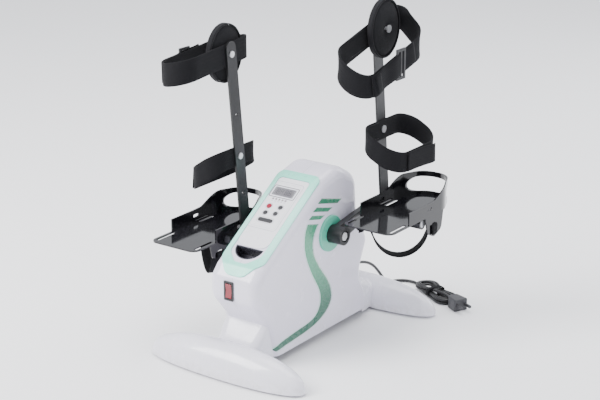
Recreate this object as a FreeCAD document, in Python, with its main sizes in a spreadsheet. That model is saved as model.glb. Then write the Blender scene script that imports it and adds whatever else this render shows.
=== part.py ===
import FreeCAD, Part
import os
import math
from FreeCAD import Vector, Rotation, Placement

# Motorised pedal exerciser with foot plates, leg bars and leg straps.
# Millimetres.  +Z up, -Y is the console side, +X is the machine's right as
# seen along +Y.  The crank axle lies on y = y_shift, z = axle_z.

os.makedirs("parts", exist_ok=True)
doc = FreeCAD.newDocument("PedalExerciser")
sheet = doc.addObject("Spreadsheet::Sheet", "Dimensions")
VAL = {}
NODES = {}


def dim(alias, value):
    row = len(VAL) + 1
    sheet.set("A%d" % row, alias)
    sheet.set("B%d" % row, "%.6g" % value)
    sheet.setAlias("B%d" % row, alias)
    VAL[alias] = float(value)
    return alias


# ---- driving dimensions ------------------------------------------------
dim("y_shift", 26.0)          # puts the box of everything but the cord on the origin
dim("axle_z", 207.0)
dim("body_half", 55.0)
dim("edge_round", 20.0)
dim("wall", 3.0)
dim("base_z", 16.0)
dim("console_tilt", 33.0)
dim("console_y", -203.0)
dim("console_z", 197.0)
dim("bezel_proud", 2.0)
dim("panel_thick", 1.4)
dim("crank_radius", 97.0)
dim("crank_rest_angle", 11.6)
dim("arm_thick", 12.0)
dim("arm_inner", 64.0)
dim("boss_radius", 17.0)
dim("boss_end", 89.5)
dim("shaft_radius", 8.5)
dim("spindle_radius", 7.0)
dim("running_gap", 0.05)
dim("plate_inner", 95.5)
dim("plate_outer", 203.0)
dim("plate_near", -117.0)
dim("plate_far", 128.0)
dim("plate_rise", 13.0)
dim("sheet_thick", 2.5)
dim("wall_high", 24.0)
dim("guard_high", 46.0)
dim("bar_thick", 4.0)
dim("bar_wide", 27.0)
dim("bar_lean", 6.0)
dim("bar_foot_y", 33.0)
dim("bar_top", 384.0)
dim("calf_z", 163.0)
dim("knee_z", 358.0)
dim("pad_thick", 20.0)
dim("pad_long", 108.0)
dim("pad_wide", 94.0)
dim("strap_thick", 2.4)
dim("knee_strap_wide", 42.0)
dim("calf_strap_wide", 38.0)
dim("foot_half", 172.0)
dim("foot_deep", 40.0)
dim("front_foot_y", -245.0)
dim("rear_foot_y", 193.0)
dim("front_foot_high", 56.0)
dim("rear_foot_high", 52.0)
dim("foot_lift", 4.0)
dim("pulley_radius", 70.0)
dim("motor_pulley_radius", 17.5)
dim("motor_y", -95.0)
dim("motor_z", 120.0)
dim("cord_dia", 6.0)

YS = VAL["y_shift"]
AZ = VAL["axle_z"]
TILT = VAL["console_tilt"]


def bind(obj, prop, value, stem=None):
    """Bind a property to a sheet cell: value is an alias, an expression or a number."""
    if isinstance(value, str):
        obj.setExpression(prop, ".".join(["Dimensions", value]) if value in VAL else value)
    else:
        alias = "%s_%s" % (obj.Name.lower(), (stem or prop).lower().replace(".", "_"))
        dim(alias, value)
        obj.setExpression(prop, "Dimensions." + alias)


def box(name, x, y, z, rot=None):
    o = doc.addObject("Part::Box", name)
    bind(o, "Length", abs(x[1] - x[0]))
    bind(o, "Width", abs(y[1] - y[0]))
    bind(o, "Height", abs(z[1] - z[0]))
    o.Placement = Placement(Vector(min(x), min(y), min(z)), Rotation())
    if rot is not None:
        o.Placement = rot.multiply(o.Placement)
    return o


def cyl(name, r, length, at, axis="x", rot=None):
    """Cylinder from the point at, running along +axis."""
    o = doc.addObject("Part::Cylinder", name)
    bind(o, "Radius", r)
    bind(o, "Height", length)
    turn = {"x": Rotation(Vector(0, 1, 0), 90), "y": Rotation(Vector(1, 0, 0), -90), "z": Rotation()}[axis]
    o.Placement = Placement(Vector(*at), turn)
    if rot is not None:
        o.Placement = rot.multiply(o.Placement)
    return o


def cone(name, r1, r2, length, at, axis="x"):
    o = doc.addObject("Part::Cone", name)
    bind(o, "Radius1", r1)
    bind(o, "Radius2", r2)
    bind(o, "Height", length)
    turn = {"x": Rotation(Vector(0, 1, 0), 90), "y": Rotation(Vector(1, 0, 0), -90), "z": Rotation()}[axis]
    o.Placement = Placement(Vector(*at), turn)
    return o


def fuse(name, parts):
    o = doc.addObject("Part::MultiFuse", name)
    o.Shapes = parts
    return o


def cut(name, base, tools):
    if isinstance(tools, (list, tuple)):
        tools = tools[0] if len(tools) == 1 else fuse(name + "_tools", list(tools))
    o = doc.addObject("Part::Cut", name)
    o.Base = base
    o.Tool = tools
    return o


def common(name, a, b):
    o = doc.addObject("Part::Common", name)
    o.Base = a
    o.Tool = b
    return o


def group(name, parts):
    """Several separate solids of one kind, kept together."""
    o = doc.addObject("Part::Compound", name)
    o.Links = parts
    return o


def node(obj, label):
    """Name a finished piece and put it in the object's own frame."""
    obj.Label = label
    p = obj.Placement
    obj.Placement = Placement(p.Base + Vector(0, YS, 0), p.Rotation)
    NODES[label] = obj
    return obj


# ---- outlines: straight runs with rounded corners ---------------------
def rounded(points):
    """Closed outline [(a, b, radius), ...] -> list of Part line and arc curves in a plane."""
    n = len(points)
    starts, ends, mids = [], [], []
    for i in range(n):
        p = Vector(points[i][0], points[i][1], 0)
        a = Vector(points[i - 1][0], points[i - 1][1], 0) - p
        b = Vector(points[(i + 1) % n][0], points[(i + 1) % n][1], 0) - p
        r = points[i][2]
        a.normalize()
        b.normalize()
        half = a.getAngle(b) / 2
        if r < 1e-6 or abs(half - math.pi / 2) < 1e-4:
            starts.append(p)
            ends.append(p)
            mids.append(None)
            continue
        t = r / math.tan(half)
        c = p + (a + b).normalize() * (r / math.sin(half))
        starts.append(p + a * t)
        ends.append(p + b * t)
        mids.append(c + (p - c).normalize() * r)
    curves = []
    for i in range(n):
        if mids[i] is not None:
            curves.append(Part.Arc(starts[i], mids[i], ends[i]))
        j = (i + 1) % n
        if (starts[j] - ends[i]).Length > 1e-5:
            curves.append(Part.LineSegment(ends[i], starts[j]))
    return curves


def inset(points, d):
    """Offset a closed outline inwards by d (outwards when d is negative)."""
    n = len(points)
    area = sum(points[i][0] * points[(i + 1) % n][1] - points[(i + 1) % n][0] * points[i][1] for i in range(n))
    turn = 1.0 if area > 0 else -1.0
    lines = []
    for i in range(n):
        x0, y0 = points[i][:2]
        x1, y1 = points[(i + 1) % n][:2]
        ln = math.hypot(x1 - x0, y1 - y0)
        nx, ny = -(y1 - y0) / ln * turn, (x1 - x0) / ln * turn
        lines.append((x0 + nx * d, y0 + ny * d, (x1 - x0) / ln, (y1 - y0) / ln))
    out = []
    for i in range(n):
        ax, ay, adx, ady = lines[i - 1]
        bx, by, bdx, bdy = lines[i]
        det = adx * (-bdy) + bdx * ady
        t = ((bx - ax) * (-bdy) + bdx * (by - ay)) / det
        convex = (adx * bdy - ady * bdx) * turn > 0
        r = points[i][2]
        if r > 0:
            r = max(r - d, 0.5) if convex else max(r + d, 0.5)
        out.append((ax + adx * t, ay + ady * t, r))
    return out


PLANES = {"xy": "XY_Plane", "xz": "XZ_Plane", "yz": "YZ_Plane"}


def plane_of(body, which):
    for f in body.Origin.OriginFeatures:
        if f.Role == PLANES[which]:
            return f
    raise RuntimeError("no plane " + which)


def prism(name, plane, outlines, length, mid=False, rev=False, rot=None, circles=()):
    """PartDesign body: one sketch of closed outlines and circles, one pad."""
    body = doc.addObject("PartDesign::Body", name)
    sk = body.newObject("Sketcher::SketchObject", name + "_sketch")
    sk.AttachmentSupport = [(plane_of(body, plane), "")]
    sk.MapMode = "FlatFace"
    for o in outlines:
        sk.addGeometry(o, False)
    for (cx, cy, r) in circles:
        sk.addGeometry(Part.Circle(Vector(cx, cy, 0), Vector(0, 0, 1), r), False)
    pad = body.newObject("PartDesign::Pad", name + "_pad")
    pad.Profile = sk
    bind(pad, "Length", length)
    if mid:
        pad.SideType = "Symmetric" if hasattr(pad, "SideType") else pad.SideType
    if rev:
        pad.Reversed = True
    body.Tip = pad
    if rot is not None:
        body.Placement = rot
    return body


def fillet_body(body, radius, pick):
    """Add a PartDesign fillet on the edges that pick(edge) chooses."""
    doc.recompute()
    tip = body.Tip
    names = ["Edge%d" % (i + 1) for i, e in enumerate(tip.Shape.Edges) if pick(e)]
    f = body.newObject("PartDesign::Fillet", body.Name + "_round")
    f.Base = (tip, names)
    bind(f, "Radius", radius)
    body.Tip = f
    return body


# ---- housing -----------------------------------------------------------
BZ = VAL["base_z"]
PROFILE = [
    (-176, BZ, 0), (136, BZ, 0), (134, 50, 22), (109, 94, 34), (138, 158, 26), (100, 226, 50),
    (95, 296, 40), (38, 329, 48), (-24, 313.2, 60), (-207, 194.4, 22), (-227, 172, 28), (-227, 132, 34),
    (-190, 88, 26),
]
W = VAL["body_half"]


def side_body(name, d, bottom):
    """Side outline padded across the machine, with its long edges rounded."""
    pts = inset(PROFILE, d)
    pts[0] = (pts[0][0], bottom, 0)
    pts[1] = (pts[1][0], bottom, 0)
    half = W - d
    b = prism(name, "yz", [rounded(pts)], 2 * half, mid=True)
    fillet_body(b, VAL["edge_round"] - d,
                lambda e: abs(abs(e.CenterOfMass.x) - half) < 1e-3 and e.CenterOfMass.z > bottom + 0.5)
    return b


outer = side_body("housing_outer", 0.0, BZ)
inner = side_body("housing_inner", VAL["wall"], BZ - 8)
skin = side_body("housing_skin", -VAL["bezel_proud"], BZ)

# console plane: local x across, local y up the slope, local z out of the face
CON = Placement(Vector(0, VAL["console_y"], VAL["console_z"]), Rotation(Vector(1, 0, 0), TILT))


def con(x, s, n):
    return CON.multVec(Vector(x, s, n))


ring_out = [(47, 224, 15), (-47, 224, 15), (-47, 10, 26), (-19, -25, 20), (19, -25, 20), (47, 10, 26)]
ring_in = [(35, 205, 8), (-35, 205, 8), (-35, 22, 20), (-13, 1, 14), (13, 1, 14), (35, 22, 20)]
down = Placement(CON.multVec(Vector(0, 0, -48)), CON.Rotation)
ring_prism = prism("bezel_prism", "xy", [rounded(ring_out), rounded(ring_in)], 66.0, rot=down)
bezel = common("bezel_strip", cut("bezel_skin", skin, outer), ring_prism)
node(bezel, "console_bezel")

KX = -5.0                       # centre of the key area
BUTTONS = [("start", -17.0, 134.5, 5.2), ("speed_up", 7.5, 136.0, 4.6), ("speed_down", -16.0, 118.5, 4.6),
           ("mode", 5.5, 120.5, 4.6)]
GAP = 0.3
panel_holes = [(x, s, r + GAP) for _, x, s, r in BUTTONS] + [(KX + (i - 2) * 7.0, 152.5, 1.4) for i in range(5)]
bar_key = [(-22, 98, 4.19), (10, 98, 4.19), (10, 106.4, 4.19), (-22, 106.4, 4.19)]
window = [(-29.5, 160, 1.5), (19.5, 160, 1.5), (19.5, 181, 1.5), (-29.5, 181, 1.5)]
panel_out = [(-33.8, 203.5, 7), (-33.8, 44, 16), (-14, 39, 30), (14, 39, 30), (33.8, 44, 16), (33.8, 203.5, 7)]
panel = prism("panel_blank", "xy", [rounded(panel_out), rounded(inset(bar_key, -GAP)), rounded(inset(window, -0.02))],
              "panel_thick", rot=CON, circles=panel_holes)
node(panel, "console_panel")

win = prism("window_blank", "xy", [rounded(window)], 2.3, rot=Placement(con(0, 0, -0.5), CON.Rotation))
node(win, "display_window")
node(group("lamps", [cyl("lamp%d" % i, 1.38, 3.2, (KX + (i - 2) * 7.0, 152.5, -1.4), "z", rot=CON) for i in range(5)]),
     "indicator_lights")
for nm, x, s, r in BUTTONS:
    b = prism("key_" + nm, "xy", [], 6.0, rot=Placement(con(0, 0, -3.4), CON.Rotation), circles=[(x, s, r)])
    fillet_body(b, 0.9, lambda e: e.CenterOfMass.z > 5.9)
    node(b, "button_" + nm)
b = prism("key_stop", "xy", [rounded(bar_key)], 6.0, rot=Placement(con(0, 0, -3.4), CON.Rotation))
fillet_body(b, 0.8, lambda e: e.CenterOfMass.z > 5.9)
node(b, "button_stop")

# carry grip: a half-oval recess below the panel's tongue
gx, gs = 30.0, 37.5


def half_oval(a, bb, top):
    c = Vector(0, gs, 0)
    e = Part.Ellipse(c, a, bb)
    lift = math.asin(max(gs - top, 0.0) / bb)
    arc = Part.ArcOfEllipse(e, math.pi + lift, 2 * math.pi - lift)
    p0, p1 = arc.StartPoint, arc.EndPoint
    if lift > 0:
        return [arc, Part.LineSegment(p1, p0)]
    q0, q1 = Vector(p0.x, top, 0), Vector(p1.x, top, 0)
    return [arc, Part.LineSegment(p1, q1), Part.LineSegment(q1, q0), Part.LineSegment(q0, p0)]


grip_hole = prism("grip_hole", "xy", [half_oval(gx, 26.5, gs + 0.6)], 40.0, rot=Placement(con(0, 0, -30), CON.Rotation))
cup_out = prism("grip_cup_outer", "xy", [half_oval(gx, 26.5, gs + 0.6)], 25.0, rot=Placement(con(0, 0, -25.2), CON.Rotation))
cup_in = prism("grip_cup_inner", "xy", [half_oval(gx - 2.2, 24.3, gs - 1.6)], 30.0, rot=Placement(con(0, 0, -22.8), CON.Rotation))
node(cut("grip_cup", cup_out, cup_in), "grip_cup")

# power switch on the nose
SX, SZ, SY = -6.0, 151.0, -227.0
sw_body = box("switch_body", (SX - 9, SX + 9), (SY - 0.2, SY + 16), (SZ - 17, SZ + 17))
sw_rim = prism("switch_rim", "xz", [rounded([(SX - 10.5, SZ - 18.5, 2), (SX + 10.5, SZ - 18.5, 2),
                                             (SX + 10.5, SZ + 18.5, 2), (SX - 10.5, SZ + 18.5, 2)])], 1.8,
               rot=Placement(Vector(0, SY - 0.2, 0), Rotation()))
sw_win = box("switch_window", (SX - 6.8, SX + 6.8), (SY - 5, SY + 12), (SZ - 14.6, SZ + 14.6))
node(cut("switch_housing", fuse("switch_shell", [sw_body, sw_rim]), sw_win), "switch_housing")
rk = prism("rocker_blank", "yz", [rounded([(SY - 3.2, SZ + 13.4, 0.8), (SY - 1.0, SZ, 22), (SY - 3.2, SZ - 13.4, 0.8),
                                           (SY + 3.4, SZ - 12.6, 1), (SY + 7.5, SZ, 3), (SY + 3.4, SZ + 12.6, 1)])],
           12.8, rot=Placement(Vector(SX - 6.4, 0, 0), Rotation()))
node(rk, "power_rocker")

# the two mouldings, with their openings
console_hole = box("console_hole", (-31, 31), (92, 190), (-12, 3), rot=CON)
hub_hole = cyl("hub_hole", 22.0, 130.0, (-65, 0, AZ), "x")
frame_slot = box("frame_slot", (-27, 27), (-200, 160), (5, 39))
GY, GZ = 110.0, 84.0            # where the cord leaves the rear wall
gland_hole = cyl("gland_hole", 7.02, 40.0, (0, GY - 22, GZ), "y")
SCREWS = [(-150, 46), (-50, 40), (84, 44), (-196, 150), (66, 282), (104, 150)]
screw_holes = [cyl("screw_hole%d" % i, 3.55, 14.0, (-56, y, z), "x") for i, (y, z) in enumerate(SCREWS)]
sw_void = box("switch_void", (SX - 9, SX + 9), (SY - 20, SY + 16), (SZ - 17, SZ + 17))
shell = cut("housing_hollow", outer, inner)
shell = cut("housing_open", shell, [console_hole, hub_hole, frame_slot, gland_hole, grip_hole, sw_void])
right_half = common("right_half", shell, box("right_space", (0, 80), (-300, 200), (0, 400)))
left_half = cut("left_half_open", common("left_half", shell, box("left_space", (-80, 0), (-300, 200), (0, 400))), screw_holes)
node(right_half, "shell_right")
node(left_half, "shell_left")
node(group("screws", [cyl("screw%d" % i, 3.5, 9.0, (-54.6, y, z), "x") for i, (y, z) in enumerate(SCREWS)]), "housing_screws")

# mint covers round the axle
for sd, s in (("right", 1), ("left", -1)):
    x0 = W if s > 0 else -W - 5.0
    ring = cyl("hub_ring_" + sd, 35.0, 5.0, (x0, 0, AZ), "x")
    neck = cyl("hub_neck_" + sd, 21.9, 10.0, ((W - 6) if s > 0 else -W - 4, 0, AZ), "x")
    bore = cyl("hub_bore_" + sd, VAL["boss_radius"] + 0.6, 40.0, ((W - 20) if s > 0 else -W - 20, 0, AZ), "x")
    hc = cut("hub_cover_blank_" + sd, fuse("hub_body_" + sd, [ring, neck]), bore)
    doc.recompute()
    fl = doc.addObject("Part::Fillet", "hub_cover_" + sd)
    fl.Base = hc
    fl.Edges = [(i + 1, 2.6, 2.6) for i, e in enumerate(hc.Shape.Edges)
                if abs(e.CenterOfMass.x - s * (W + 5.0)) < 1e-3 and e.BoundBox.ZLength > 65]
    node(fl, "hub_cover_" + sd)

# ---- stabiliser feet -----------------------------------------------------
LIFT = VAL["foot_lift"]


def pod(name, y0, high, half, deep, low):
    """Lens-shaped foot: a loft of ovals along X, cut flat underneath."""
    rings = []
    L = half
    for i, x in enumerate((-L, -L * .985, -L * .93, -L * .82, -L * .62, -L * .33, 0, L * .33, L * .62, L * .82, L * .93, L * .985, L)):
        k = max(1 - (abs(x) / L) ** 2.3, 0) ** (1 / 2.3)
        k = max(k, 0.05)
        e = doc.addObject("Part::Ellipse", "%s_oval%d" % (name, i))
        a, bb = deep * k, high * k
        if bb >= a:
            bind(e, "MajorRadius", bb)
            bind(e, "MinorRadius", a)
        else:
            bind(e, "MajorRadius", a)
            bind(e, "MinorRadius", bb)
        # the oval's long axis points down, so that the loft's seam runs under the foot
        m = FreeCAD.Matrix()
        if bb >= a:
            ux, uy, uz = Vector(0, 0, -1), Vector(0, 1, 0), Vector(1, 0, 0)
        else:
            ux, uy, uz = Vector(0, 1, 0), Vector(0, 0, 1), Vector(1, 0, 0)
        m.A11, m.A21, m.A31 = ux.x, ux.y, ux.z
        m.A12, m.A22, m.A32 = uy.x, uy.y, uy.z
        m.A13, m.A23, m.A33 = uz.x, uz.y, uz.z
        e.Placement = Placement(Vector(x, y0, low), Rotation(m))
        rings.append(e)
    lf = doc.addObject("Part::Loft", name + "_loft")
    lf.Sections = rings
    lf.Solid = True
    lf.Ruled = False
    return cut(name + "_flat", lf, box(name + "_under", (-200, 200), (y0 - 80, y0 + 80), (-120, low)))


def foot(name, y0, high, sections):
    """Moulded foot cover: a pod, a neck lofted from rounded arches, hollow over the steel tube."""
    pod_o = pod(name + "_out", y0, high, VAL["foot_half"], VAL["foot_deep"], LIFT)
    arches = []
    for i, (y, half, top, r) in enumerate(sections):
        sk = doc.addObject("Sketcher::SketchObject", "%s_arch%d" % (name, i))
        for c in rounded([(-half, LIFT + 3, 0), (half, LIFT + 3, 0), (half - 2, top, r), (-half + 2, top, r)]):
            sk.addGeometry(c, False)
        sk.Placement = Placement(Vector(0, y, 0), Rotation(Vector(1, 0, 0), 90))
        arches.append(sk)
    neck = doc.addObject("Part::Loft", name + "_neck")
    neck.Sections = arches
    neck.Solid = True
    neck.Ruled = False
    ys = [q[0] for q in sections]
    hollow = box(name + "_hollow", (-121.5, 121.5), (y0 - 18.5, y0 + 18.5), (0, 32.5))
    way = box(name + "_way", (-30, 30), (min(ys + [y0 - 18.5]), max(ys + [y0 + 18.5])), (0, 40))
    whole = cut(name + "_clear", fuse(name + "_union", [pod_o, neck]), outer)
    return cut(name, cut(name + "_first", whole, hollow), way)


node(foot("front_foot", VAL["front_foot_y"], VAL["front_foot_high"],
          [(-170, 50, 88, 14), (-190, 49.5, 81, 15), (-208, 47, 61, 17), (-226, 43, 46, 17), (-244, 38, 36, 14)]),
     "front_foot_cover")
node(foot("rear_foot", VAL["rear_foot_y"], VAL["rear_foot_high"],
          [(121, 50, 71, 14), (140, 49.5, 66, 15), (158, 47.5, 58, 18), (177, 44, 52, 20), (196, 39, 47, 20)]),
     "rear_foot_cover")


def tube_beam(name, y0, z0, z1, half, wide):
    return cut(name, box(name + "_bar", (-half, half), (y0 - wide / 2, y0 + wide / 2), (z0, z1)),
               box(name + "_hollow", (-half - 1, half + 1), (y0 - wide / 2 + 1.5, y0 + wide / 2 - 1.5), (z0 + 1.5, z1 - 1.5)))


FY, RY = VAL["front_foot_y"], VAL["rear_foot_y"]
node(tube_beam("front_beam", FY, 10, 32, 120, 36), "front_cross_tube")
node(tube_beam("rear_beam", RY, 10, 32, 120, 36), "rear_cross_tube")
pads = []
for i, (x, y) in enumerate([(-106, FY), (106, FY), (-106, RY), (106, RY)]):
    pads.append(fuse("rubber%d" % i, [cyl("rubber_pad%d" % i, 14.0, 7.0, (x, y, 0), "z"), cyl("rubber_stem%d" % i, 8.0, 3.0, (x, y, 7.0), "z")]))
node(group("rubber_feet_all", pads), "rubber_feet")

# ---- steel base frame, bearing plates, drive ---------------------------
plate = box("frame_plate", (-25, 25), (FY - 17, RY + 17), (32, 35))
rail1 = box("frame_rail_a", (-25, -22), (-172, 128), (35, 38.5))
rail2 = box("frame_rail_b", (22, 25), (-172, 128), (35, 38.5))
node(fuse("frame_all", [plate, rail1, rail2]), "base_frame")

races = []
for sd, s in (("right", 1), ("left", -1)):
    xa, xb = (34.0, 38.0) if s > 0 else (-38.0, -34.0)
    up = prism("upright_" + sd, "yz", [rounded([(-48, 38.5, 0), (48, 38.5, 0), (30, AZ + 28, 24), (-30, AZ + 28, 24)]),
                                       rounded([(-26, 60, 6), (26, 60, 6), (12, 165, 6), (-12, 165, 6)])], 4.0,
               rot=Placement(Vector(xa, 0, 0), Rotation()), circles=[(0, AZ, 17.5)])
    # foot of the upright, folded under it and standing on the frame
    lip = box("upright_lip_" + sd, (10, 38) if s > 0 else (-38, -10), (-48, 48), (38.5, 41.5))
    node(fuse("upright_full_" + sd, [up, lip]), "bearing_plate_" + sd)
    race = cyl("bearing_ring_" + sd, 17.5, 11.0, ((30.5) if s > 0 else -41.5, 0, AZ), "x")
    hole = cyl("bearing_bore_" + sd, VAL["shaft_radius"] + VAL["running_gap"], 40.0, ((20) if s > 0 else -60, 0, AZ), "x")
    races.append(cut("bearing_" + sd + "_body", race, hole))
node(group("bearings_pair", races), "axle_bearings")

MY, MZ = VAL["motor_y"], VAL["motor_z"]
can = cyl("motor_can", 31.0, 34.0, (-46, MY, MZ), "x")
gearbox = box("motor_gearbox", (-22, -7), (MY - 33, MY + 30), (MZ - 30, MZ + 30))
seat = box("motor_seat", (-44, -7), (MY - 36, MY + 32), (38.5, MZ - 29))
gm = cut("gearmotor_body", fuse("motor_all", [can, gearbox, seat]), cyl("motor_bore", 5.0 + VAL["running_gap"], 20.0, (-20, MY, MZ), "x"))
node(gm, "gearmotor")
node(fuse("motor_drive", [cyl("motor_shaft", 5.0, 32.0, (-17, MY, MZ), "x"),
                          cyl("motor_wheel", "motor_pulley_radius", 14.0, (1, MY, MZ), "x")]), "motor_pulley")

# flat belt: a closed loop round both pulleys, a hair clear of them
R1, R2 = VAL["pulley_radius"] + 0.3, VAL["motor_pulley_radius"] + 0.3
dy, dz = MY, MZ - AZ
dist = math.hypot(dy, dz)
base_a = math.atan2(dz, dy)
beta = math.acos((R1 - R2) / dist)


def belt_loop(r1, r2):
    def pt(c, r, a):
        return Vector(c[0] + r * math.cos(a), c[1] + r * math.sin(a), 0)
    c1, c2 = (0.0, AZ), (MY, MZ)
    a0, a1 = base_a + beta, base_a - beta
    p1, p2 = pt(c1, r1, a0), pt(c2, r2, a0)
    q1, q2 = pt(c1, r1, a1), pt(c2, r2, a1)
    return [Part.LineSegment(p1, p2), Part.Arc(p2, pt(c2, r2, base_a), q2), Part.LineSegment(q2, q1),
            Part.Arc(q1, pt(c1, r1, base_a + math.pi), p1)]


node(prism("belt_blank", "yz", [belt_loop(R1 + 2, R2 + 2), belt_loop(R1, R2)], 12.0, rot=Placement(Vector(2, 0, 0), Rotation())), "drive_belt")

bd = Placement(con(0, 0, -17), CON.Rotation)
brd = fuse("board_all", [box("board_plate", (-30, 22), (95, 185), (0, 1.6), rot=bd),
                         box("board_display", (-28, 18), (158, 183), (1.6, 15.5), rot=bd),
                         box("board_plug", (-12, 12), (86, 96), (-8, 1.6), rot=bd)])
node(brd, "control_board")

# ---- crank (turns on the axle) -----------------------------------------
CR, CA = VAL["crank_radius"], math.radians(VAL["crank_rest_angle"])
SPY, SPZ = CR * math.cos(CA), CR * math.sin(CA)     # spindle from the axle, right side; the left is opposite
node(cyl("shaft", "shaft_radius", 156.0, (-78, 0, AZ), "x"), "crank_shaft")
pul = cut("driven_pulley_body", fuse("driven_all", [cyl("driven_wheel", "pulley_radius", 14.0, (1, 0, AZ), "x"),
                                                   cyl("driven_hub", 15.0, 22.0, (-3, 0, AZ), "x")]),
          [cyl("driven_bore", "shaft_radius", 60.0, (-30, 0, AZ), "x")] +
          [cyl("driven_light%d" % i, 13.0, 40.0, (-10, 42 * math.cos(i * math.pi / 3), AZ + 42 * math.sin(i * math.pi / 3)), "x") for i in range(6)])
node(pul, "crank_pulley")

bolts = []
for sd, s in (("right", 1), ("left", -1)):
    ang = CA if s > 0 else CA + math.pi
    cy_, cz_ = CR * math.cos(ang), AZ + CR * math.sin(ang)
    t = VAL["arm_thick"]
    xa = VAL["arm_inner"] if s > 0 else -VAL["arm_inner"] - t
    # tapered arm: tangent lines between the two eyes
    r1, r2 = VAL["boss_radius"], 12.5
    bta = math.acos((r1 - r2) / CR)

    def pt(c, r, a):
        return Vector(c[0] + r * math.cos(a), c[1] + r * math.sin(a), 0)
    c1, c2 = (0.0, AZ), (cy_, cz_)
    loop = [Part.LineSegment(pt(c1, r1, ang + bta), pt(c2, r2, ang + bta)),
            Part.Arc(pt(c2, r2, ang + bta), pt(c2, r2, ang), pt(c2, r2, ang - bta)),
            Part.LineSegment(pt(c2, r2, ang - bta), pt(c1, r1, ang - bta)),
            Part.Arc(pt(c1, r1, ang - bta), pt(c1, r1, ang + math.pi), pt(c1, r1, ang + bta))]
    web = prism("arm_web_" + sd, "yz", [loop], "arm_thick", rot=Placement(Vector(xa, 0, 0), Rotation()))
    fillet_body(web, 1.8, lambda e: e.Curve.TypeId != "Part::GeomLine" and abs(e.CenterOfMass.x - (t if s > 0 else 0)) < 1e-3 or
                (e.Curve.TypeId == "Part::GeomLine" and e.Length > 30 and abs(e.CenterOfMass.x - (t if s > 0 else 0)) < 1e-3))
    bl = VAL["boss_end"] - (W + 2.5)
    boss = cyl("arm_boss_" + sd, "boss_radius", bl, ((W + 2.5) if s > 0 else -VAL["boss_end"], 0, AZ), "x")
    arm = cut("arm_" + sd, fuse("arm_full_" + sd, [web, boss]),
              [cyl("arm_bore_" + sd, "shaft_radius", 40.0, (38 if s > 0 else -78, 0, AZ), "x"),
               cyl("arm_recess_" + sd, 11.0, 8.0, (VAL["boss_end"] - 5 if s > 0 else -VAL["boss_end"] - 3, 0, AZ), "x"),
               cyl("arm_eye_" + sd, "spindle_radius", 40.0, (50 if s > 0 else -90, cy_, cz_), "x")])
    node(arm, "crank_arm_" + sd)
    head = cyl("crank_bolt_head_" + sd, 8.0, 4.4, ((VAL["boss_end"] - 5) if s > 0 else -VAL["boss_end"] + 0.6, 0, AZ), "x")
    bolts.append(head)
    node(cyl("spindle_" + sd, "spindle_radius", 134.0, (VAL["arm_inner"] if s > 0 else -VAL["arm_inner"] - 134.0, cy_, cz_), "x"),
         "pedal_spindle_" + sd)
node(group("crank_bolts_all", bolts), "crank_bolts")


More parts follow.
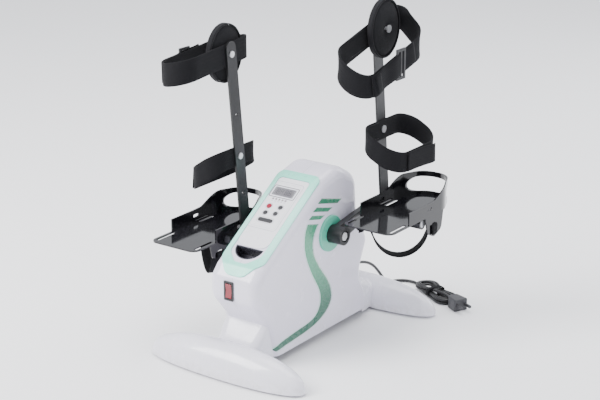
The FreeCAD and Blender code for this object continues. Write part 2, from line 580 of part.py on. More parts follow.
# ---- pedals with leg bars ----------------------------------------------
for sd, s in (("right", 1), ("left", -1)):
    PY, PZ = s * SPY, AZ + s * SPZ

    def X(a, b):
        return (a, b) if s > 0 else (-b, -a)

    PI, PO = VAL["plate_inner"], VAL["plate_outer"]
    T, RISE = VAL["sheet_thick"], VAL["plate_rise"]
    near, far = VAL["plate_near"], VAL["plate_far"]
    mid_x = (PI + PO) / 2
    hw = (PO - PI) / 2

    def outline(d, y_from):
        """Plate outline in plan (x from the plate's middle, y from the spindle): rounded far end."""
        w = hw - d
        return [(-w, y_from, 16 if y_from < -100 else 0), (w, y_from, 16 if y_from < -100 else 0),
                (w, far - 58 - d * .2, 60), (w * .52, far - d, 38), (-w * .52, far - d, 38), (-w, far - 58 - d * .2, 60)]

    base = Placement(Vector(s * mid_x, PY, PZ + RISE - T), Rotation())

    def slot(cx, cy, half_l, r):
        return rounded([(cx - r, cy - half_l, r * .98), (cx + r, cy - half_l, r * .98), (cx + r, cy + half_l, r * .98), (cx - r, cy + half_l, r * .98)])

    floor = prism("floor_" + sd, "xy", [rounded(outline(0, near)), slot(hw - 9, near + 36, 26, 3.2), slot(-hw + 9, near + 36, 26, 3.2),
                                        slot(hw - 9, 40, 22, 3.2), slot(-hw + 9, 40, 22, 3.2)], "sheet_thick", rot=base)
    # side walls and end guard in one folded strip
    rim_b = Placement(Vector(s * mid_x, PY, PZ + RISE), Rotation())
    rim = prism("rim_" + sd, "xy", [rounded(outline(0, -55)), rounded(outline(T, -51))], "guard_high", rot=rim_b)
    rim_open = box("rim_open_" + sd, (s * mid_x - hw + T, s * mid_x + hw - T), (PY - 60, PY - 20), (PZ + RISE - 1, PZ + RISE + 60))
    G = VAL["guard_high"]
    H = VAL["wall_high"]
    # everything above the side walls' top line is cut away, rising to the guard at the far end
    top_cut = prism("rim_top_" + sd, "yz", [rounded([(-70, H, 0), (10, H, 0), (34, H + 1, 18), (82, G, 30), (150, G, 0), (150, G + 30, 0), (-70, G + 30, 0)])],
                    160.0, mid=True, rot=Placement(Vector(s * mid_x, PY, PZ + RISE), Rotation()))
    # long opening of the guard, seen from the end, and through both its sides
    win_e = prism("guard_open_" + sd, "xz", [rounded([(-hw + 10, 6, 14), (hw - 10, 6, 14), (hw - 10, 36, 14), (-hw + 10, 36, 14)])], 62.0, rev=True,
                  rot=Placement(Vector(s * mid_x, PY + 78, PZ + RISE), Rotation()))
    wslot = prism("wall_slot_" + sd, "yz", [rounded([(8, 9, 2.9), (24, 9, 2.9), (24, 15, 2.9), (8, 15, 2.9)])], 160.0, mid=True,
                  rot=Placement(Vector(s * mid_x, PY, PZ + RISE), Rotation()))
    rim2 = cut("rim_cut_" + sd, rim, [rim_open, top_cut, win_e, wslot])
    # strap tabs hanging below each side
    tab_pts = [(2, 0.2, 0), (66, 0.2, 0), (60, -34, 12), (34, -44, 12), (12, -34, 12)]
    xo = X(PO - T, PO)
    tab_o = prism("tab_out_" + sd, "yz", [rounded(tab_pts), rounded([(26, -20, 2.4), (38, -20, 2.4), (38, -15, 2.4), (26, -15, 2.4)]),
                                          rounded([(27, -36, 2.4), (39, -36, 2.4), (39, -31, 2.4), (27, -31, 2.4)])], "sheet_thick",
                  rot=Placement(Vector(xo[0], PY, PZ + RISE - T), Rotation()))
    xi = X(PI, PI + T)
    tab_i = prism("tab_in_" + sd, "yz", [rounded([(-72, 0.2, 0), (-14, 0.2, 0), (-18, -26, 8), (-44, -30, 12), (-66, -26, 10)]),
                                         rounded([(-52, -20, 2.4), (-36, -20, 2.4), (-36, -15, 2.4), (-52, -15, 2.4)])], "sheet_thick",
                  rot=Placement(Vector(xi[0], PY, PZ + RISE - T), Rotation()))
    clear = cyl("spindle_clear_" + sd, 9.0, 30.0, (X(85, 115)[0], PY, PZ), "x")
    plate_all = cut("foot_plate_body_" + sd, fuse("foot_plate_full_" + sd, [floor, rim2, tab_o, tab_i]), [clear])
    node(plate_all, "foot_plate_" + sd)

    tube = cyl("sleeve_" + sd, 10.5, 98.0, (X(100, 198)[0], PY, PZ), "x")
    saddle = box("saddle_" + sd, X(112, 188), (PY - 15, PY + 15), (PZ + 4, PZ + RISE - T))
    sleeve = cut("pedal_hub_body_" + sd, fuse("pedal_hub_full_" + sd, [tube, saddle]),
                 cyl("sleeve_bore_" + sd, VAL["spindle_radius"] + VAL["running_gap"], 140.0, (X(80, 220)[0], PY, PZ), "x"))
    node(sleeve, "pedal_hub_" + sd)

    # leg bar: flat steel standing on the inner wall, leaning towards the heel
    BW, BT, LEAN = VAL["bar_wide"], VAL["bar_thick"], VAL["bar_lean"]
    lean = Placement(Vector(X(PI - BT, PI)[0], PY + VAL["bar_foot_y"], PZ), Rotation(Vector(1, 0, 0), LEAN))
    top = VAL["bar_top"]
    cz, kz = VAL["calf_z"] / math.cos(math.radians(LEAN)), VAL["knee_z"] / math.cos(math.radians(LEAN))
    bar = prism("bar_" + sd, "yz", [rounded([(-BW / 2, 6, 4), (BW / 2, 6, 4), (BW / 2, top, BW * .49), (-BW / 2, top, BW * .49)])], "bar_thick",
                rot=lean, circles=[(0, cz, 3.0), (0, kz, 3.0), (-5, 20, 2.5), (5, 32, 2.5), (0, 90, 3.2), (0, 245, 3.2)])
    node(bar, "leg_bar_" + sd)

    def on_bar(z, off=0.0):
        v = lean.multVec(Vector(0, off, z))
        return v.y, v.z

    sc = []
    for i, (o, z) in enumerate([(-5, 20), (5, 32)]):
        y1, z1 = on_bar(z, o)
        sc.append(fuse("bar_screw_%s%d" % (sd, i), [cyl("bar_screw_shank_%s%d" % (sd, i), 2.5, BT, (X(PI - BT, PI)[0], y1, z1), "x"),
                                                    cyl("bar_screw_head_%s%d" % (sd, i), 4.5, 2.2, (X(PI - BT - 2.2, PI - BT)[0], y1, z1), "x")]))

    rv = []
    cy1, cz1 = on_bar(cz)
    ky1, kz1 = on_bar(kz)
    PT = VAL["pad_thick"]
    ST = VAL["strap_thick"]
    for i, (y1, z1, grip) in enumerate([(cy1, cz1, ST + 0.7), (ky1, kz1, PT + ST + 0.85)]):
        shank = cyl("rivet_shank_%s%d" % (sd, i), 3.0, BT + grip, (X(PI - BT, PI + grip)[0], y1, z1), "x")
        h1 = cyl("rivet_head_%s%d" % (sd, i), 7.0, 2.0, (X(PI + grip, PI + grip + 2)[0], y1, z1), "x")
        h2 = cyl("rivet_tail_%s%d" % (sd, i), 6.0, 1.8, (X(PI - BT - 1.8, PI - BT)[0], y1, z1), "x")
        rv.append(fuse("rivet_%s%d" % (sd, i), [shank, h1, h2]))
    node(group("bar_fasteners_all_" + sd, sc + rv), "bar_fasteners_" + sd)

    # knee pad: soft oval disc on the knee strap's inner run, held by the knee rivet
    gap = 0.35
    pd = prism("pad_" + sd, "yz", [], PT,
               rot=Placement(Vector(X(PI + gap + ST + 0.3, PI + gap + ST + 0.3 + PT)[0], ky1, kz1), Rotation()), circles=[(0, 0, 3.4)])
    sk = pd.Tip.Profile[0]
    ov = Part.Ellipse(Vector(0, VAL["pad_long"] / 2, 0), Vector(VAL["pad_wide"] / 2, 0, 0), Vector(0, 0, 0))
    sk.addGeometry(ov, False)
    fillet_body(pd, 6.5, lambda e: e.BoundBox.ZLength > 60)
    node(pd, "knee_pad_" + sd)

    def ring(name, pts, yc, zc, wide, out_deg, toe_deg):
        """Webbing ring with upright faces, its edges in two parallel slanting planes; x = 0 is the run along the bar."""
        pts = [(s * x, y, r) for x, y, r in pts]
        at = Placement(Vector(s * (PI + gap), yc, zc), Rotation())
        wall = prism(name + "_wall", "xy", [rounded(pts), rounded(inset(pts, ST))], 320.0,
                     rot=at.multiply(Placement(Vector(0, 0, -160), Rotation())))
        slant = Placement(Vector(s * (PI + gap), yc, zc), Rotation(Vector(0, 1, 0), s * out_deg).multiply(Rotation(Vector(1, 0, 0), toe_deg)))
        slab = box(name + "_slab", (-220, 220), (-260, 220), (-wide / 2, wide / 2), rot=slant)
        return cut(name + "_full", common(name + "_band", wall, slab), cyl(name + "_hole", 3.4, 20.0, (X(PI - 8, PI + 12)[0], yc, zc), "x"))

    # knee strap: runs between the bar and the pad and hangs out and down round the leg, with a buckle
    KO, KT = (30.0, 13.0) if s > 0 else (12.0, 5.0)
    KR = 72.0
    knee_pts = [(0, 66, 16), (KR, 44, 34), (KR, -150, 35), (0, -150, 34)] if s > 0 else [(0, 66, 16), (KR, 44, 34), (KR, -124, 35), (0, -124, 34)]
    node(ring("knee_ring_" + sd, knee_pts, ky1, kz1, VAL["knee_strap_wide"], KO, KT), "knee_strap_" + sd)
    bx0 = PI + gap + KR + 0.3
    by, bz = ky1 - 38.0, kz1 - KR * math.tan(math.radians(KO)) - 38 * math.tan(math.radians(KT))
    bk = cut("buckle_body_" + sd, box("buckle_plate_" + sd, X(bx0, bx0 + 3.2), (by - 14, by + 14), (bz - 28, bz + 28)),
             [box("buckle_gap_a_" + sd, X(bx0 - 2, bx0 + 6), (by - 9, by - 2), (bz - 23, bz + 23)),
              box("buckle_gap_b_" + sd, X(bx0 - 2, bx0 + 6), (by + 2, by + 9), (bz - 23, bz + 23))])
    node(bk, "knee_buckle_" + sd)

    # calf strap: webbing ring on the calf rivet, its outer side sagging
    calf_pts = [(0, 78, 34), (82, 76, 40), (82, -80, 40), (0, -82, 34)] if s > 0 else [(0, 66, 28), (76, 62, 36), (76, -60, 36), (0, -62, 28)]
    node(ring("calf_ring_" + sd, calf_pts, cy1, cz1, VAL["calf_strap_wide"], 26.0 if s > 0 else 34.0, 0.0), "calf_strap_" + sd)

    # foot strap: webbing hanging as a loop under the plate from the two tabs
    x0, x1 = PI + T + 0.02, PO - T - 0.02
    wx = 55.0
    fs = prism("foot_band_" + sd, "xz", [], 25.0, mid=True,
               rot=Placement(Vector(s * (x0 + x1) / 2, PY - 1.5, PZ - 6), Rotation(Vector(0, 0, 1), s * 39.0)))
    sk = fs.Tip.Profile[0]
    deep_ = 66.0
    eo = Part.Ellipse(Vector(0, -deep_, 0), Vector(wx, 0, 0), Vector(0, 0, 0))
    ei = Part.Ellipse(Vector(0, -deep_ + ST, 0), Vector(wx - ST, 0, 0), Vector(0, 0, 0))

    def lower(e, a, bb):
        # half of the ellipse below its middle, from -x to +x
        u0, u1 = e.parameter(Vector(-a, 0, 0)), e.parameter(Vector(a, 0, 0))
        if u1 < u0:
            u1 += 2 * math.pi
        arc = Part.ArcOfEllipse(e, u0, u1)
        m = arc.value((arc.FirstParameter + arc.LastParameter) / 2)
        if m.y > 0:
            arc = Part.ArcOfEllipse(e, u1, u0 + 2 * math.pi)
        return arc
    ao, ai = lower(eo, wx, deep_), lower(ei, wx - ST, deep_ - ST)
    sk.addGeometry(ao, False)
    sk.addGeometry(ai, False)
    sk.addGeometry(Part.LineSegment(Vector(-wx, 0, 0), Vector(-wx + ST, 0, 0)), False)
    sk.addGeometry(Part.LineSegment(Vector(wx - ST, 0, 0), Vector(wx, 0, 0)), False)
    node(fs, "foot_strap_" + sd)

# ---- mains cord ----------------------------------------------------------
gland_out = cut("gland_outside", fuse("gland_flared", [cyl("gland_flange", 10.5, 10.0, (0, GY, GZ), "y"), cone("gland_tail", 7.4, 4.4, 27.0, (0, GY + 10, GZ), "y")]), outer)
gl = cut("gland_body", fuse("gland_all", [gland_out, cyl("gland_barrel", 7.0, 24.0, (0, GY - 12, GZ), "y")]),
         [cyl("gland_bore", 3.15, 90.0, (0, GY - 20, GZ), "y")])
node(gl, "cord_gland")

CD = VAL["cord_dia"]
ROUTE = [(0, GY + 8, GZ), (0, 155, GZ), (0.5, 182, 80.5), (1.2, 208, 73), (2.2, 231, 60), (3.2, 249, 42), (4, 263, 25), (4.8, 277, 9.5),
         (5.7, 295.3, 4.4), (14.1, 310.6, 3.4), (28.9, 320, 3.4), (46.3, 321.2, 3.4), (62.2, 313.8, 3.4)]


def rounded_path(pts):
    """Straight runs joined by tangent arcs as large as the runs allow; returns wire and radii."""
    P = [Vector(*p) for p in pts]
    edges, radii, last = [], [], P[0]
    for i in range(1, len(P) - 1):
        a, b = P[i - 1] - P[i], P[i + 1] - P[i]
        short = min(a.Length, b.Length)
        a.normalize()
        b.normalize()
        turn = math.pi - a.getAngle(b)
        t = 0.45 * short
        r = t / math.tan(turn / 2)
        radii.append(round(r, 1))
        s0, s1 = P[i] + a * t, P[i] + b * t
        c = P[i] + (a + b).normalize() * math.hypot(r, t)
        m = c + (P[i] - c).normalize() * r
        edges.append(Part.LineSegment(last, s0).toShape())
        edges.append(Part.Arc(s0, m, s1).toShape())
        last = s1
    edges.append(Part.LineSegment(last, P[-1]).toShape())
    return Part.Wire(edges), radii


wire, radii = rounded_path(ROUTE)
sect = Part.Wire([Part.Circle(Vector(*ROUTE[0]), Vector(*ROUTE[1]) - Vector(*ROUTE[0]), CD / 2).toShape()])
tube = wire.makePipeShell([sect], True, True)
cord = doc.addObject("Part::Feature", "cord_tube")
cord.Shape = tube
print("cord bend radii", radii, "length", round(wire.Length, 1), "volume ratio", round(tube.Volume / (math.pi * CD * CD / 4 * wire.Length), 4))
node(cord, "mains_cord")

# folded hank of the spare cord behind the rear foot, its tie, and the plug
HX, HY, HA = 115.7, 288.9, -25.0
hk = Placement(Vector(HX, HY, 0), Rotation(Vector(0, 0, 1), HA))
hank = prism("hank_blank", "yz", [rounded([(-19, 0.4, 6), (19, 0.4, 6), (19, 18, 9), (-19, 18, 9)])], 118.0, mid=True, rot=hk)
fillet_body(hank, 6.0, lambda e: abs(abs(e.CenterOfMass.x) - 59.0) < 1e-3)
tie_out = prism("tie_out", "yz", [rounded([(-20.6, -0.0 + 0.02, 6), (20.6, 0.02, 6), (20.6, 19.6, 9), (-20.6, 19.6, 9)])], 9.0, mid=True, rot=hk)
tie_in = prism("tie_in", "yz", [rounded([(-19, 0.4, 6), (19, 0.4, 6), (19, 18, 9), (-19, 18, 9)])], 20.0, mid=True, rot=hk)
node(cut("tie_band", tie_out, tie_in), "cord_tie")
node(hank, "cord_hank")
pl = hk.multiply(Placement(Vector(79.0, 0, 0), Rotation()))
plug_b = prism("plug_blank", "xy", [rounded([(-20, -11, 5), (8, -15, 5), (12, -15, 2), (12, 15, 2), (8, 15, 5), (-20, 11, 5)])], 24.0,
               rot=pl.multiply(Placement(Vector(0, 0, 0.4), Rotation())))
fillet_body(plug_b, 3.0, lambda e: abs(e.CenterOfMass.z - 24) < 1e-3)
pins = [box("plug_pin%d" % i, (12, 30), (y - 2.2, y + 2.2), (10, 14.8), rot=pl) for i, y in enumerate((-9.5, 9.5))]
node(fuse("plug_all", [plug_b] + pins), "mains_plug")

# ---- check and write -----------------------------------------------------
doc.recompute()
bad = []
for o in doc.Objects:
    if "Invalid" in o.State or "Error" in o.State:
        bad.append("%s %s" % (o.Name, o.State))
for label, o in NODES.items():
    sh = o.Shape
    if sh.isNull() or not sh.isValid() or not sh.Solids:
        bad.append("shape %s null=%s" % (label, sh.isNull()))
if bad:
    raise RuntimeError("; ".join(bad))
lo, hi = [1e9] * 3, [-1e9] * 3
for label, o in sorted(NODES.items()):
    bb = o.Shape.BoundBox
    print("%-22s solids %d  x %.1f %.1f  y %.1f %.1f  z %.1f %.1f  vol %.1f" % (
        label, len(o.Shape.Solids), bb.XMin, bb.XMax, bb.YMin, bb.YMax, bb.ZMin, bb.ZMax, o.Shape.Volume / 1000))
    if label not in ("mains_cord", "cord_hank", "cord_tie", "mains_plug"):
        lo = [min(a, b) for a, b in zip(lo, (bb.XMin, bb.YMin, bb.ZMin))]
        hi = [max(a, b) for a, b in zip(hi, (bb.XMax, bb.YMax, bb.ZMax))]
print("box without the cord", [round(v, 2) for v in lo], [round(v, 2) for v in hi], "nodes", len(NODES))
for label, o in NODES.items():
    o.Shape.exportStep("parts/%s.step" % label)
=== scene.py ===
import bpy, bmesh, math
from mathutils import Vector, Matrix
from mathutils.bvhtree import BVHTree


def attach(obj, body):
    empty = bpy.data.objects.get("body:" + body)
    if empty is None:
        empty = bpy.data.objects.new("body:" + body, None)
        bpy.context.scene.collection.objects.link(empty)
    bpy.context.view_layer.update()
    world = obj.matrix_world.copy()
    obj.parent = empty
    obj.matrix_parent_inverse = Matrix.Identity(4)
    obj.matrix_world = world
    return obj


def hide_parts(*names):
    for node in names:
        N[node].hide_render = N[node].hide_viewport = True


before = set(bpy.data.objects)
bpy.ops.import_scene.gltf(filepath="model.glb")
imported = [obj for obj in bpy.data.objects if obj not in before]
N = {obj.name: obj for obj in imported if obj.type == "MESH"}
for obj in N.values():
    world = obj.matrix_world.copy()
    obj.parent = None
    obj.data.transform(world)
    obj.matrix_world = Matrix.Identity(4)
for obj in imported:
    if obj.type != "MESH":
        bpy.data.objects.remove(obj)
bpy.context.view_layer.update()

# Looks of a motorised pedal exerciser.  Metres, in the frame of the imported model.
YS, AZ = 26.0, 207.0


def W(x, y, z):
    """Design millimetres (y from the crank axle) to the model's metres."""
    return Vector((x, y + YS, z)) * 0.001


TILT = math.radians(33.0)
SLOPE, NORM = Vector((0, math.cos(TILT), math.sin(TILT))), Vector((0, -math.sin(TILT), math.cos(TILT)))
CON0 = W(0, -203.0, 197.0)

# ---------------------------------------------------------------- camera, light, floor
az, el = math.radians(35.5), math.radians(20.3)
back = Vector((math.sin(az) * math.cos(el), -math.cos(az) * math.cos(el), math.sin(el)))
cam = bpy.data.objects.new("camera", bpy.data.cameras.new("camera"))
bpy.context.scene.collection.objects.link(cam)
cam.location = W(0, 0, 170) + back * 3.0
cam.rotation_mode = "QUATERNION"
cam.rotation_quaternion = (-back).to_track_quat("-Z", "Y")
cam.data.sensor_width = 36.0
cam.data.lens = 1590.0 * 36.0 / 600.0
cam.data.shift_x = -(305.7 - 300.0) / 600.0
cam.data.shift_y = (245.7 - 200.0) / 600.0
cam.data.clip_end = 50.0
bpy.context.scene.camera = cam

world = bpy.data.worlds.new("studio")
bpy.context.scene.world = world
world.use_nodes = True
world.node_tree.nodes["Background"].inputs[0].default_value = (0.93, 0.95, 1.0, 1)
world.node_tree.nodes["Background"].inputs[1].default_value = 1.25


def area(name, loc, look, size, power, color=(1, 1, 1), size_y=None):
    d = bpy.data.lights.new(name, "AREA")
    d.energy, d.size, d.color = power, size, color
    if size_y:
        d.shape, d.size_y = "RECTANGLE", size_y
    o = bpy.data.objects.new(name, d)
    bpy.context.scene.collection.objects.link(o)
    o.location = loc
    o.rotation_mode = "QUATERNION"
    o.rotation_quaternion = (Vector(look) - Vector(loc)).to_track_quat("-Z", "Y")
    return o


area("key_light", (-1.5, -2.1, 2.3), (0, 0, 0.2), 1.6, 150.0, (1.0, 0.99, 0.975))
area("fill_light", (2.6, -1.2, 1.3), (0, 0, 0.2), 1.8, 5.0, (0.93, 0.94, 1.0))
area("top_light", (0.1, 0.5, 2.8), (0, 0, 0.2), 2.2, 64.0)
area("rear_light", (0.8, 2.6, 1.3), (0, 0, 0.3), 1.4, 22.0, (0.95, 0.97, 1.0))


# ---------------------------------------------------------------- material helpers
class Mat:
    """A small builder for procedural materials."""

    def __init__(self, name, color=(0.5, 0.5, 0.5), rough=0.5, metal=0.0, coat=0.0, coat_rough=0.05, spec=0.5, sheen=0.0):
        self.m = bpy.data.materials.new(name)
        self.m.use_nodes = True
        self.t = self.m.node_tree
        self.b = next(n for n in self.t.nodes if n.type == "BSDF_PRINCIPLED")
        i = self.b.inputs
        i["Base Color"].default_value = (*color, 1)
        i["Roughness"].default_value = rough
        i["Metallic"].default_value = metal
        i["Coat Weight"].default_value = coat
        i["Coat Roughness"].default_value = coat_rough
        i["Specular IOR Level"].default_value = spec
        i["Sheen Weight"].default_value = sheen
        self.pos = None
        self.m.diffuse_color = (*color, 1)

    def n(self, kind, **props):
        o = self.t.nodes.new(kind)
        for k, v in props.items():
            setattr(o, k, v)
        return o

    def link(self, a, b):
        self.t.links.new(a, b)

    def p(self):
        """Position on the piece, in metres in its own frame."""
        if self.pos is None:
            self.pos = self.n("ShaderNodeTexCoord").outputs["Object"]
        return self.pos

    def uv(self):
        return self.n("ShaderNodeTexCoord").outputs["UV"]

    def set(self, node, idx, v):
        if v is None:
            return
        if hasattr(v, "is_output"):
            self.link(v, node.inputs[idx])
        else:
            node.inputs[idx].default_value = v

    def math(self, op, a, b=None, c=None, clamp=False):
        o = self.n("ShaderNodeMath", operation=op, use_clamp=clamp)
        self.set(o, 0, a)
        self.set(o, 1, b)
        self.set(o, 2, c)
        return o.outputs[0]

    def vec(self, op, a, b=None):
        o = self.n("ShaderNodeVectorMath", operation=op)
        self.set(o, 0, a)
        self.set(o, 1, b)
        return o.outputs["Value"] if op in ("LENGTH", "DOT_PRODUCT", "DISTANCE") else o.outputs["Vector"]

    def noise(self, scale, detail=3.0, rough=0.5, stretch=None, src=None):
        v = src or self.p()
        if stretch:
            mp = self.n("ShaderNodeMapping")
            mp.inputs["Scale"].default_value = stretch
            self.link(v, mp.inputs["Vector"])
            v = mp.outputs["Vector"]
        o = self.n("ShaderNodeTexNoise")
        o.inputs["Scale"].default_value = scale
        o.inputs["Detail"].default_value = detail
        o.inputs["Roughness"].default_value = rough
        self.link(v, o.inputs["Vector"])
        return o.outputs["Fac"]

    def range(self, v, a, b, c=0.0, d=1.0, smooth=False):
        o = self.n("ShaderNodeMapRange", interpolation_type="SMOOTHSTEP" if smooth else "LINEAR")
        self.link(v, o.inputs["Value"])
        for k, x in zip(("From Min", "From Max", "To Min", "To Max"), (a, b, c, d)):
            o.inputs[k].default_value = x
        return o.outputs["Result"]

    def mix(self, f, a, b):
        o = self.n("ShaderNodeMix", data_type="RGBA")
        self.set(o, 0, f)
        for idx, v in ((6, a), (7, b)):
            if hasattr(v, "is_output"):
                self.link(v, o.inputs[idx])
            else:
                o.inputs[idx].default_value = (*v, 1) if len(v) == 3 else v
        return o.outputs[2]

    def color(self, v):
        self.link(v, self.b.inputs["Base Color"])
        return self

    def rough(self, v):
        self.link(v, self.b.inputs["Roughness"])
        return self

    def bump(self, h, dist=0.0002, strength=0.5):
        o = self.n("ShaderNodeBump")
        o.inputs["Strength"].default_value = strength
        o.inputs["Distance"].default_value = dist
        self.link(h, o.inputs["Height"])
        if self.b.inputs["Normal"].is_linked:
            self.link(self.b.inputs["Normal"].links[0].from_socket, o.inputs["Normal"])
        self.link(o.outputs["Normal"], self.b.inputs["Normal"])
        return self

    def axis(self, which):
        s = self.n("ShaderNodeSeparateXYZ")
        self.link(self.p(), s.inputs[0])
        return s.outputs["XYZ".index(which)]


def scuffed(m, base, worn, amount=0.35, scale=28.0):
    """Slow tone change plus fine rubbed marks."""
    slow = m.range(m.noise(9.0, 2.0), 0.35, 0.7)
    marks = m.range(m.noise(scale, 6.0, 0.72, (1, 3, 1)), 0.62, 0.78)
    c = m.mix(m.math("MULTIPLY", slow, 0.5), base, tuple(0.93 * v for v in base))
    return m.mix(m.math("MULTIPLY", marks, amount), c, worn)


# white gloss moulding
white = Mat("white_gloss_moulding", rough=0.22, coat=0.35, coat_rough=0.04)
c = scuffed(white, (0.77, 0.745, 0.86), (0.70, 0.68, 0.77), 0.18)
# darker towards the bottom: a height ramp broken up by noise patches, mixed towards warm grey
low = white.range(white.axis("Z"), 0.075, 0.012, 0.0, 0.35, True)
bottom_darkening = white.math("MULTIPLY", low, white.range(white.noise(60.0, 4.0, 0.7), 0.4, 0.75))
c = white.mix(bottom_darkening, c, (0.56, 0.54, 0.53))
joint = white.range(white.math("ABSOLUTE", white.axis("X")), 0.0001, 0.00045, 1.0, 0.0, True)
c = white.mix(white.math("MULTIPLY", joint, 0.55), c, (0.30, 0.30, 0.34))
white.color(c).rough(white.range(white.noise(40.0, 4.0), 0.3, 0.75, 0.17, 0.30))
white.bump(white.noise(700.0, 2.0), 0.00006, 0.18)
white.bump(white.math("SUBTRACT", 1.0, joint), 0.0004, 0.5)

# plain white moulding for the feet (no parting line)
foot_white = Mat("white_foot_moulding", rough=0.2, coat=0.4, coat_rough=0.03)
c = scuffed(foot_white, (0.81, 0.80, 0.88), (0.66, 0.65, 0.68), 0.28, 34.0)
low = foot_white.range(foot_white.axis("Z"), 0.030, 0.006, 0.0, 0.5, True)
c = foot_white.mix(foot_white.math("MULTIPLY", low, foot_white.range(foot_white.noise(90.0, 5.0, 0.7), 0.35, 0.7)), c, (0.50, 0.48, 0.47))
foot_white.color(c).rough(foot_white.range(foot_white.noise(55.0, 5.0), 0.3, 0.75, 0.15, 0.33))
foot_white.bump(foot_white.noise(650.0, 2.0), 0.00006, 0.18)

# mint trims
mint = Mat("mint_ring_moulding", rough=0.3, coat=0.25)
sp = mint.range(mint.vec("DOT_PRODUCT", mint.p(), tuple(SLOPE)), SLOPE.dot(CON0) - 0.02, SLOPE.dot(CON0) + 0.225)
ends = mint.math("MULTIPLY", mint.math("SUBTRACT", sp, 0.5), 2.0)
ends = mint.range(mint.math("ABSOLUTE", ends), 0.35, 1.0, 0.0, 1.0, True)
c = mint.mix(ends, (0.42, 0.88, 0.75), (0.24, 0.78, 0.61))
c = mint.mix(mint.math("MULTIPLY", mint.range(mint.noise(30.0, 5.0, 0.7), 0.6, 0.8), 0.25), c, (0.62, 0.80, 0.75))
mint.color(c).rough(mint.range(mint.noise(60.0, 3.0), 0.3, 0.7, 0.24, 0.38)).bump(mint.noise(900.0, 2.0), 0.00005, 0.2)

mint2 = Mat("mint_hub_moulding", rough=0.32, coat=0.2)
c = scuffed(mint2, (0.09, 0.47, 0.33), (0.18, 0.55, 0.43), 0.3, 50.0)
mint2.color(c).rough(mint2.range(mint2.noise(70.0, 4.0), 0.3, 0.7, 0.24, 0.42)).bump(mint2.noise(900.0, 2.0), 0.00006, 0.25)

# printed console panel: thin lines, screen frame and key rings drawn from position
panel = Mat("console_print", rough=0.3, coat=0.15)
px = panel.axis("X")
ps = panel.math("SUBTRACT", panel.vec("DOT_PRODUCT", panel.p(), tuple(SLOPE)), SLOPE.dot(CON0))
pxy = panel.n("ShaderNodeCombineXYZ")
panel.link(px, pxy.inputs[0])
panel.link(ps, pxy.inputs[1])


def rbox(m, src, cx, cs, hx, hs, r):
    """Distance outside a rounded rectangle on the console, in metres (negative inside)."""
    q = m.vec("ABSOLUTE", m.vec("SUBTRACT", src, (cx / 1000, cs / 1000, 0)))
    q = m.vec("MAXIMUM", m.vec("SUBTRACT", q, ((hx - r) / 1000, (hs - r) / 1000, 1)), (0, 0, 0))
    return m.math("SUBTRACT", m.vec("LENGTH", q), r / 1000)


def line(m, d, w):
    return m.range(m.math("ABSOLUTE", d), w * 0.0006, w * 0.0012, 1.0, 0.0, True)


def fill(m, d):
    return m.range(d, -0.0003, 0.0003, 1.0, 0.0, True)


S = pxy.outputs[0]
c = scuffed(panel, (0.83, 0.83, 0.87), (0.72, 0.72, 0.76), 0.15, 60.0)
c = panel.mix(panel.math("MULTIPLY", line(panel, rbox(panel, S, -4.5, 138, 31.5, 56, 6), 0.7), 0.55), c, (0.33, 0.33, 0.40))
c = panel.mix(panel.math("MULTIPLY", line(panel, rbox(panel, S, -4.5, 138, 27.5, 52, 5), 0.45), 0.35), c, (0.38, 0.38, 0.45))
c = panel.mix(line(panel, rbox(panel, S, -5, 170.5, 27.5, 13.2, 3), 0.9), c, (0.10, 0.10, 0.13))
for bx, bs, br in ((-17.0, 134.5, 5.2), (7.5, 136.0, 4.6), (-16.0, 118.5, 4.6), (5.5, 120.5, 4.6)):
    c = panel.mix(panel.math("MULTIPLY", line(panel, rbox(panel, S, bx, bs, br + 1.6, br + 1.6, br + 1.55), 0.5), 0.6), c, (0.25, 0.25, 0.30))
c = panel.mix(panel.math("MULTIPLY", line(panel, rbox(panel, S, -6, 102.2, 18.2, 6.4, 6.3), 0.5), 0.6), c, (0.25, 0.25, 0.30))
for k in range(5):
    c = panel.mix(line(panel, rbox(panel, S, -5 + (k - 2) * 7.0, 152.5, 2.3, 2.3, 2.25), 0.35), c, (0.30, 0.30, 0.36))
    c = panel.mix(panel.math("MULTIPLY", fill(panel, rbox(panel, S, -5 + (k - 2) * 7.0, 147.7, 2.2, 0.55, 0.5)), 0.7), c, (0.30, 0.30, 0.36))
panel.color(c).rough(panel.range(panel.noise(70.0, 4.0), 0.3, 0.7, 0.24, 0.38)).bump(panel.noise(1100.0, 2.0), 0.00004, 0.25)

# the screen: dark frame, grey glass, faint segments
lcd = Mat("screen_glass", rough=0.12, coat=0.5, coat_rough=0.02)
lx = lcd.axis("X")
ls = lcd.math("SUBTRACT", lcd.vec("DOT_PRODUCT", lcd.p(), tuple(SLOPE)), SLOPE.dot(CON0))
lxy = lcd.n("ShaderNodeCombineXYZ")
lcd.link(lx, lxy.inputs[0])
lcd.link(ls, lxy.inputs[1])
L = lxy.outputs[0]
c = lcd.mix(fill(lcd, rbox(lcd, L, -5, 170.5, 21.0, 7.6, 1.2)), (0.62, 0.62, 0.68), (0.155, 0.15, 0.165))
c = lcd.mix(line(lcd, rbox(lcd, L, -5, 170.5, 22.2, 8.6, 1.4), 0.8), c, (0.03, 0.03, 0.04))
for gx in (-18, -10, 0, 8):
    c = lcd.mix(lcd.math("MULTIPLY", line(lcd, rbox(lcd, L, gx, 173.3, 2.4, 2.5, 0.6), 0.5), 0.8), c, (0.035, 0.035, 0.045))
    c = lcd.mix(lcd.math("MULTIPLY", line(lcd, rbox(lcd, L, gx, 168.0, 2.4, 2.5, 0.6), 0.5), 0.8), c, (0.035, 0.035, 0.045))
lcd.color(lcd.mix(lcd.math("MULTIPLY", lcd.range(lcd.noise(90, 4), 0.5, 0.8), 0.15), c, (0.5, 0.5, 0.52)))
lcd.rough(lcd.range(lcd.noise(120.0, 4.0), 0.3, 0.75, 0.07, 0.22))

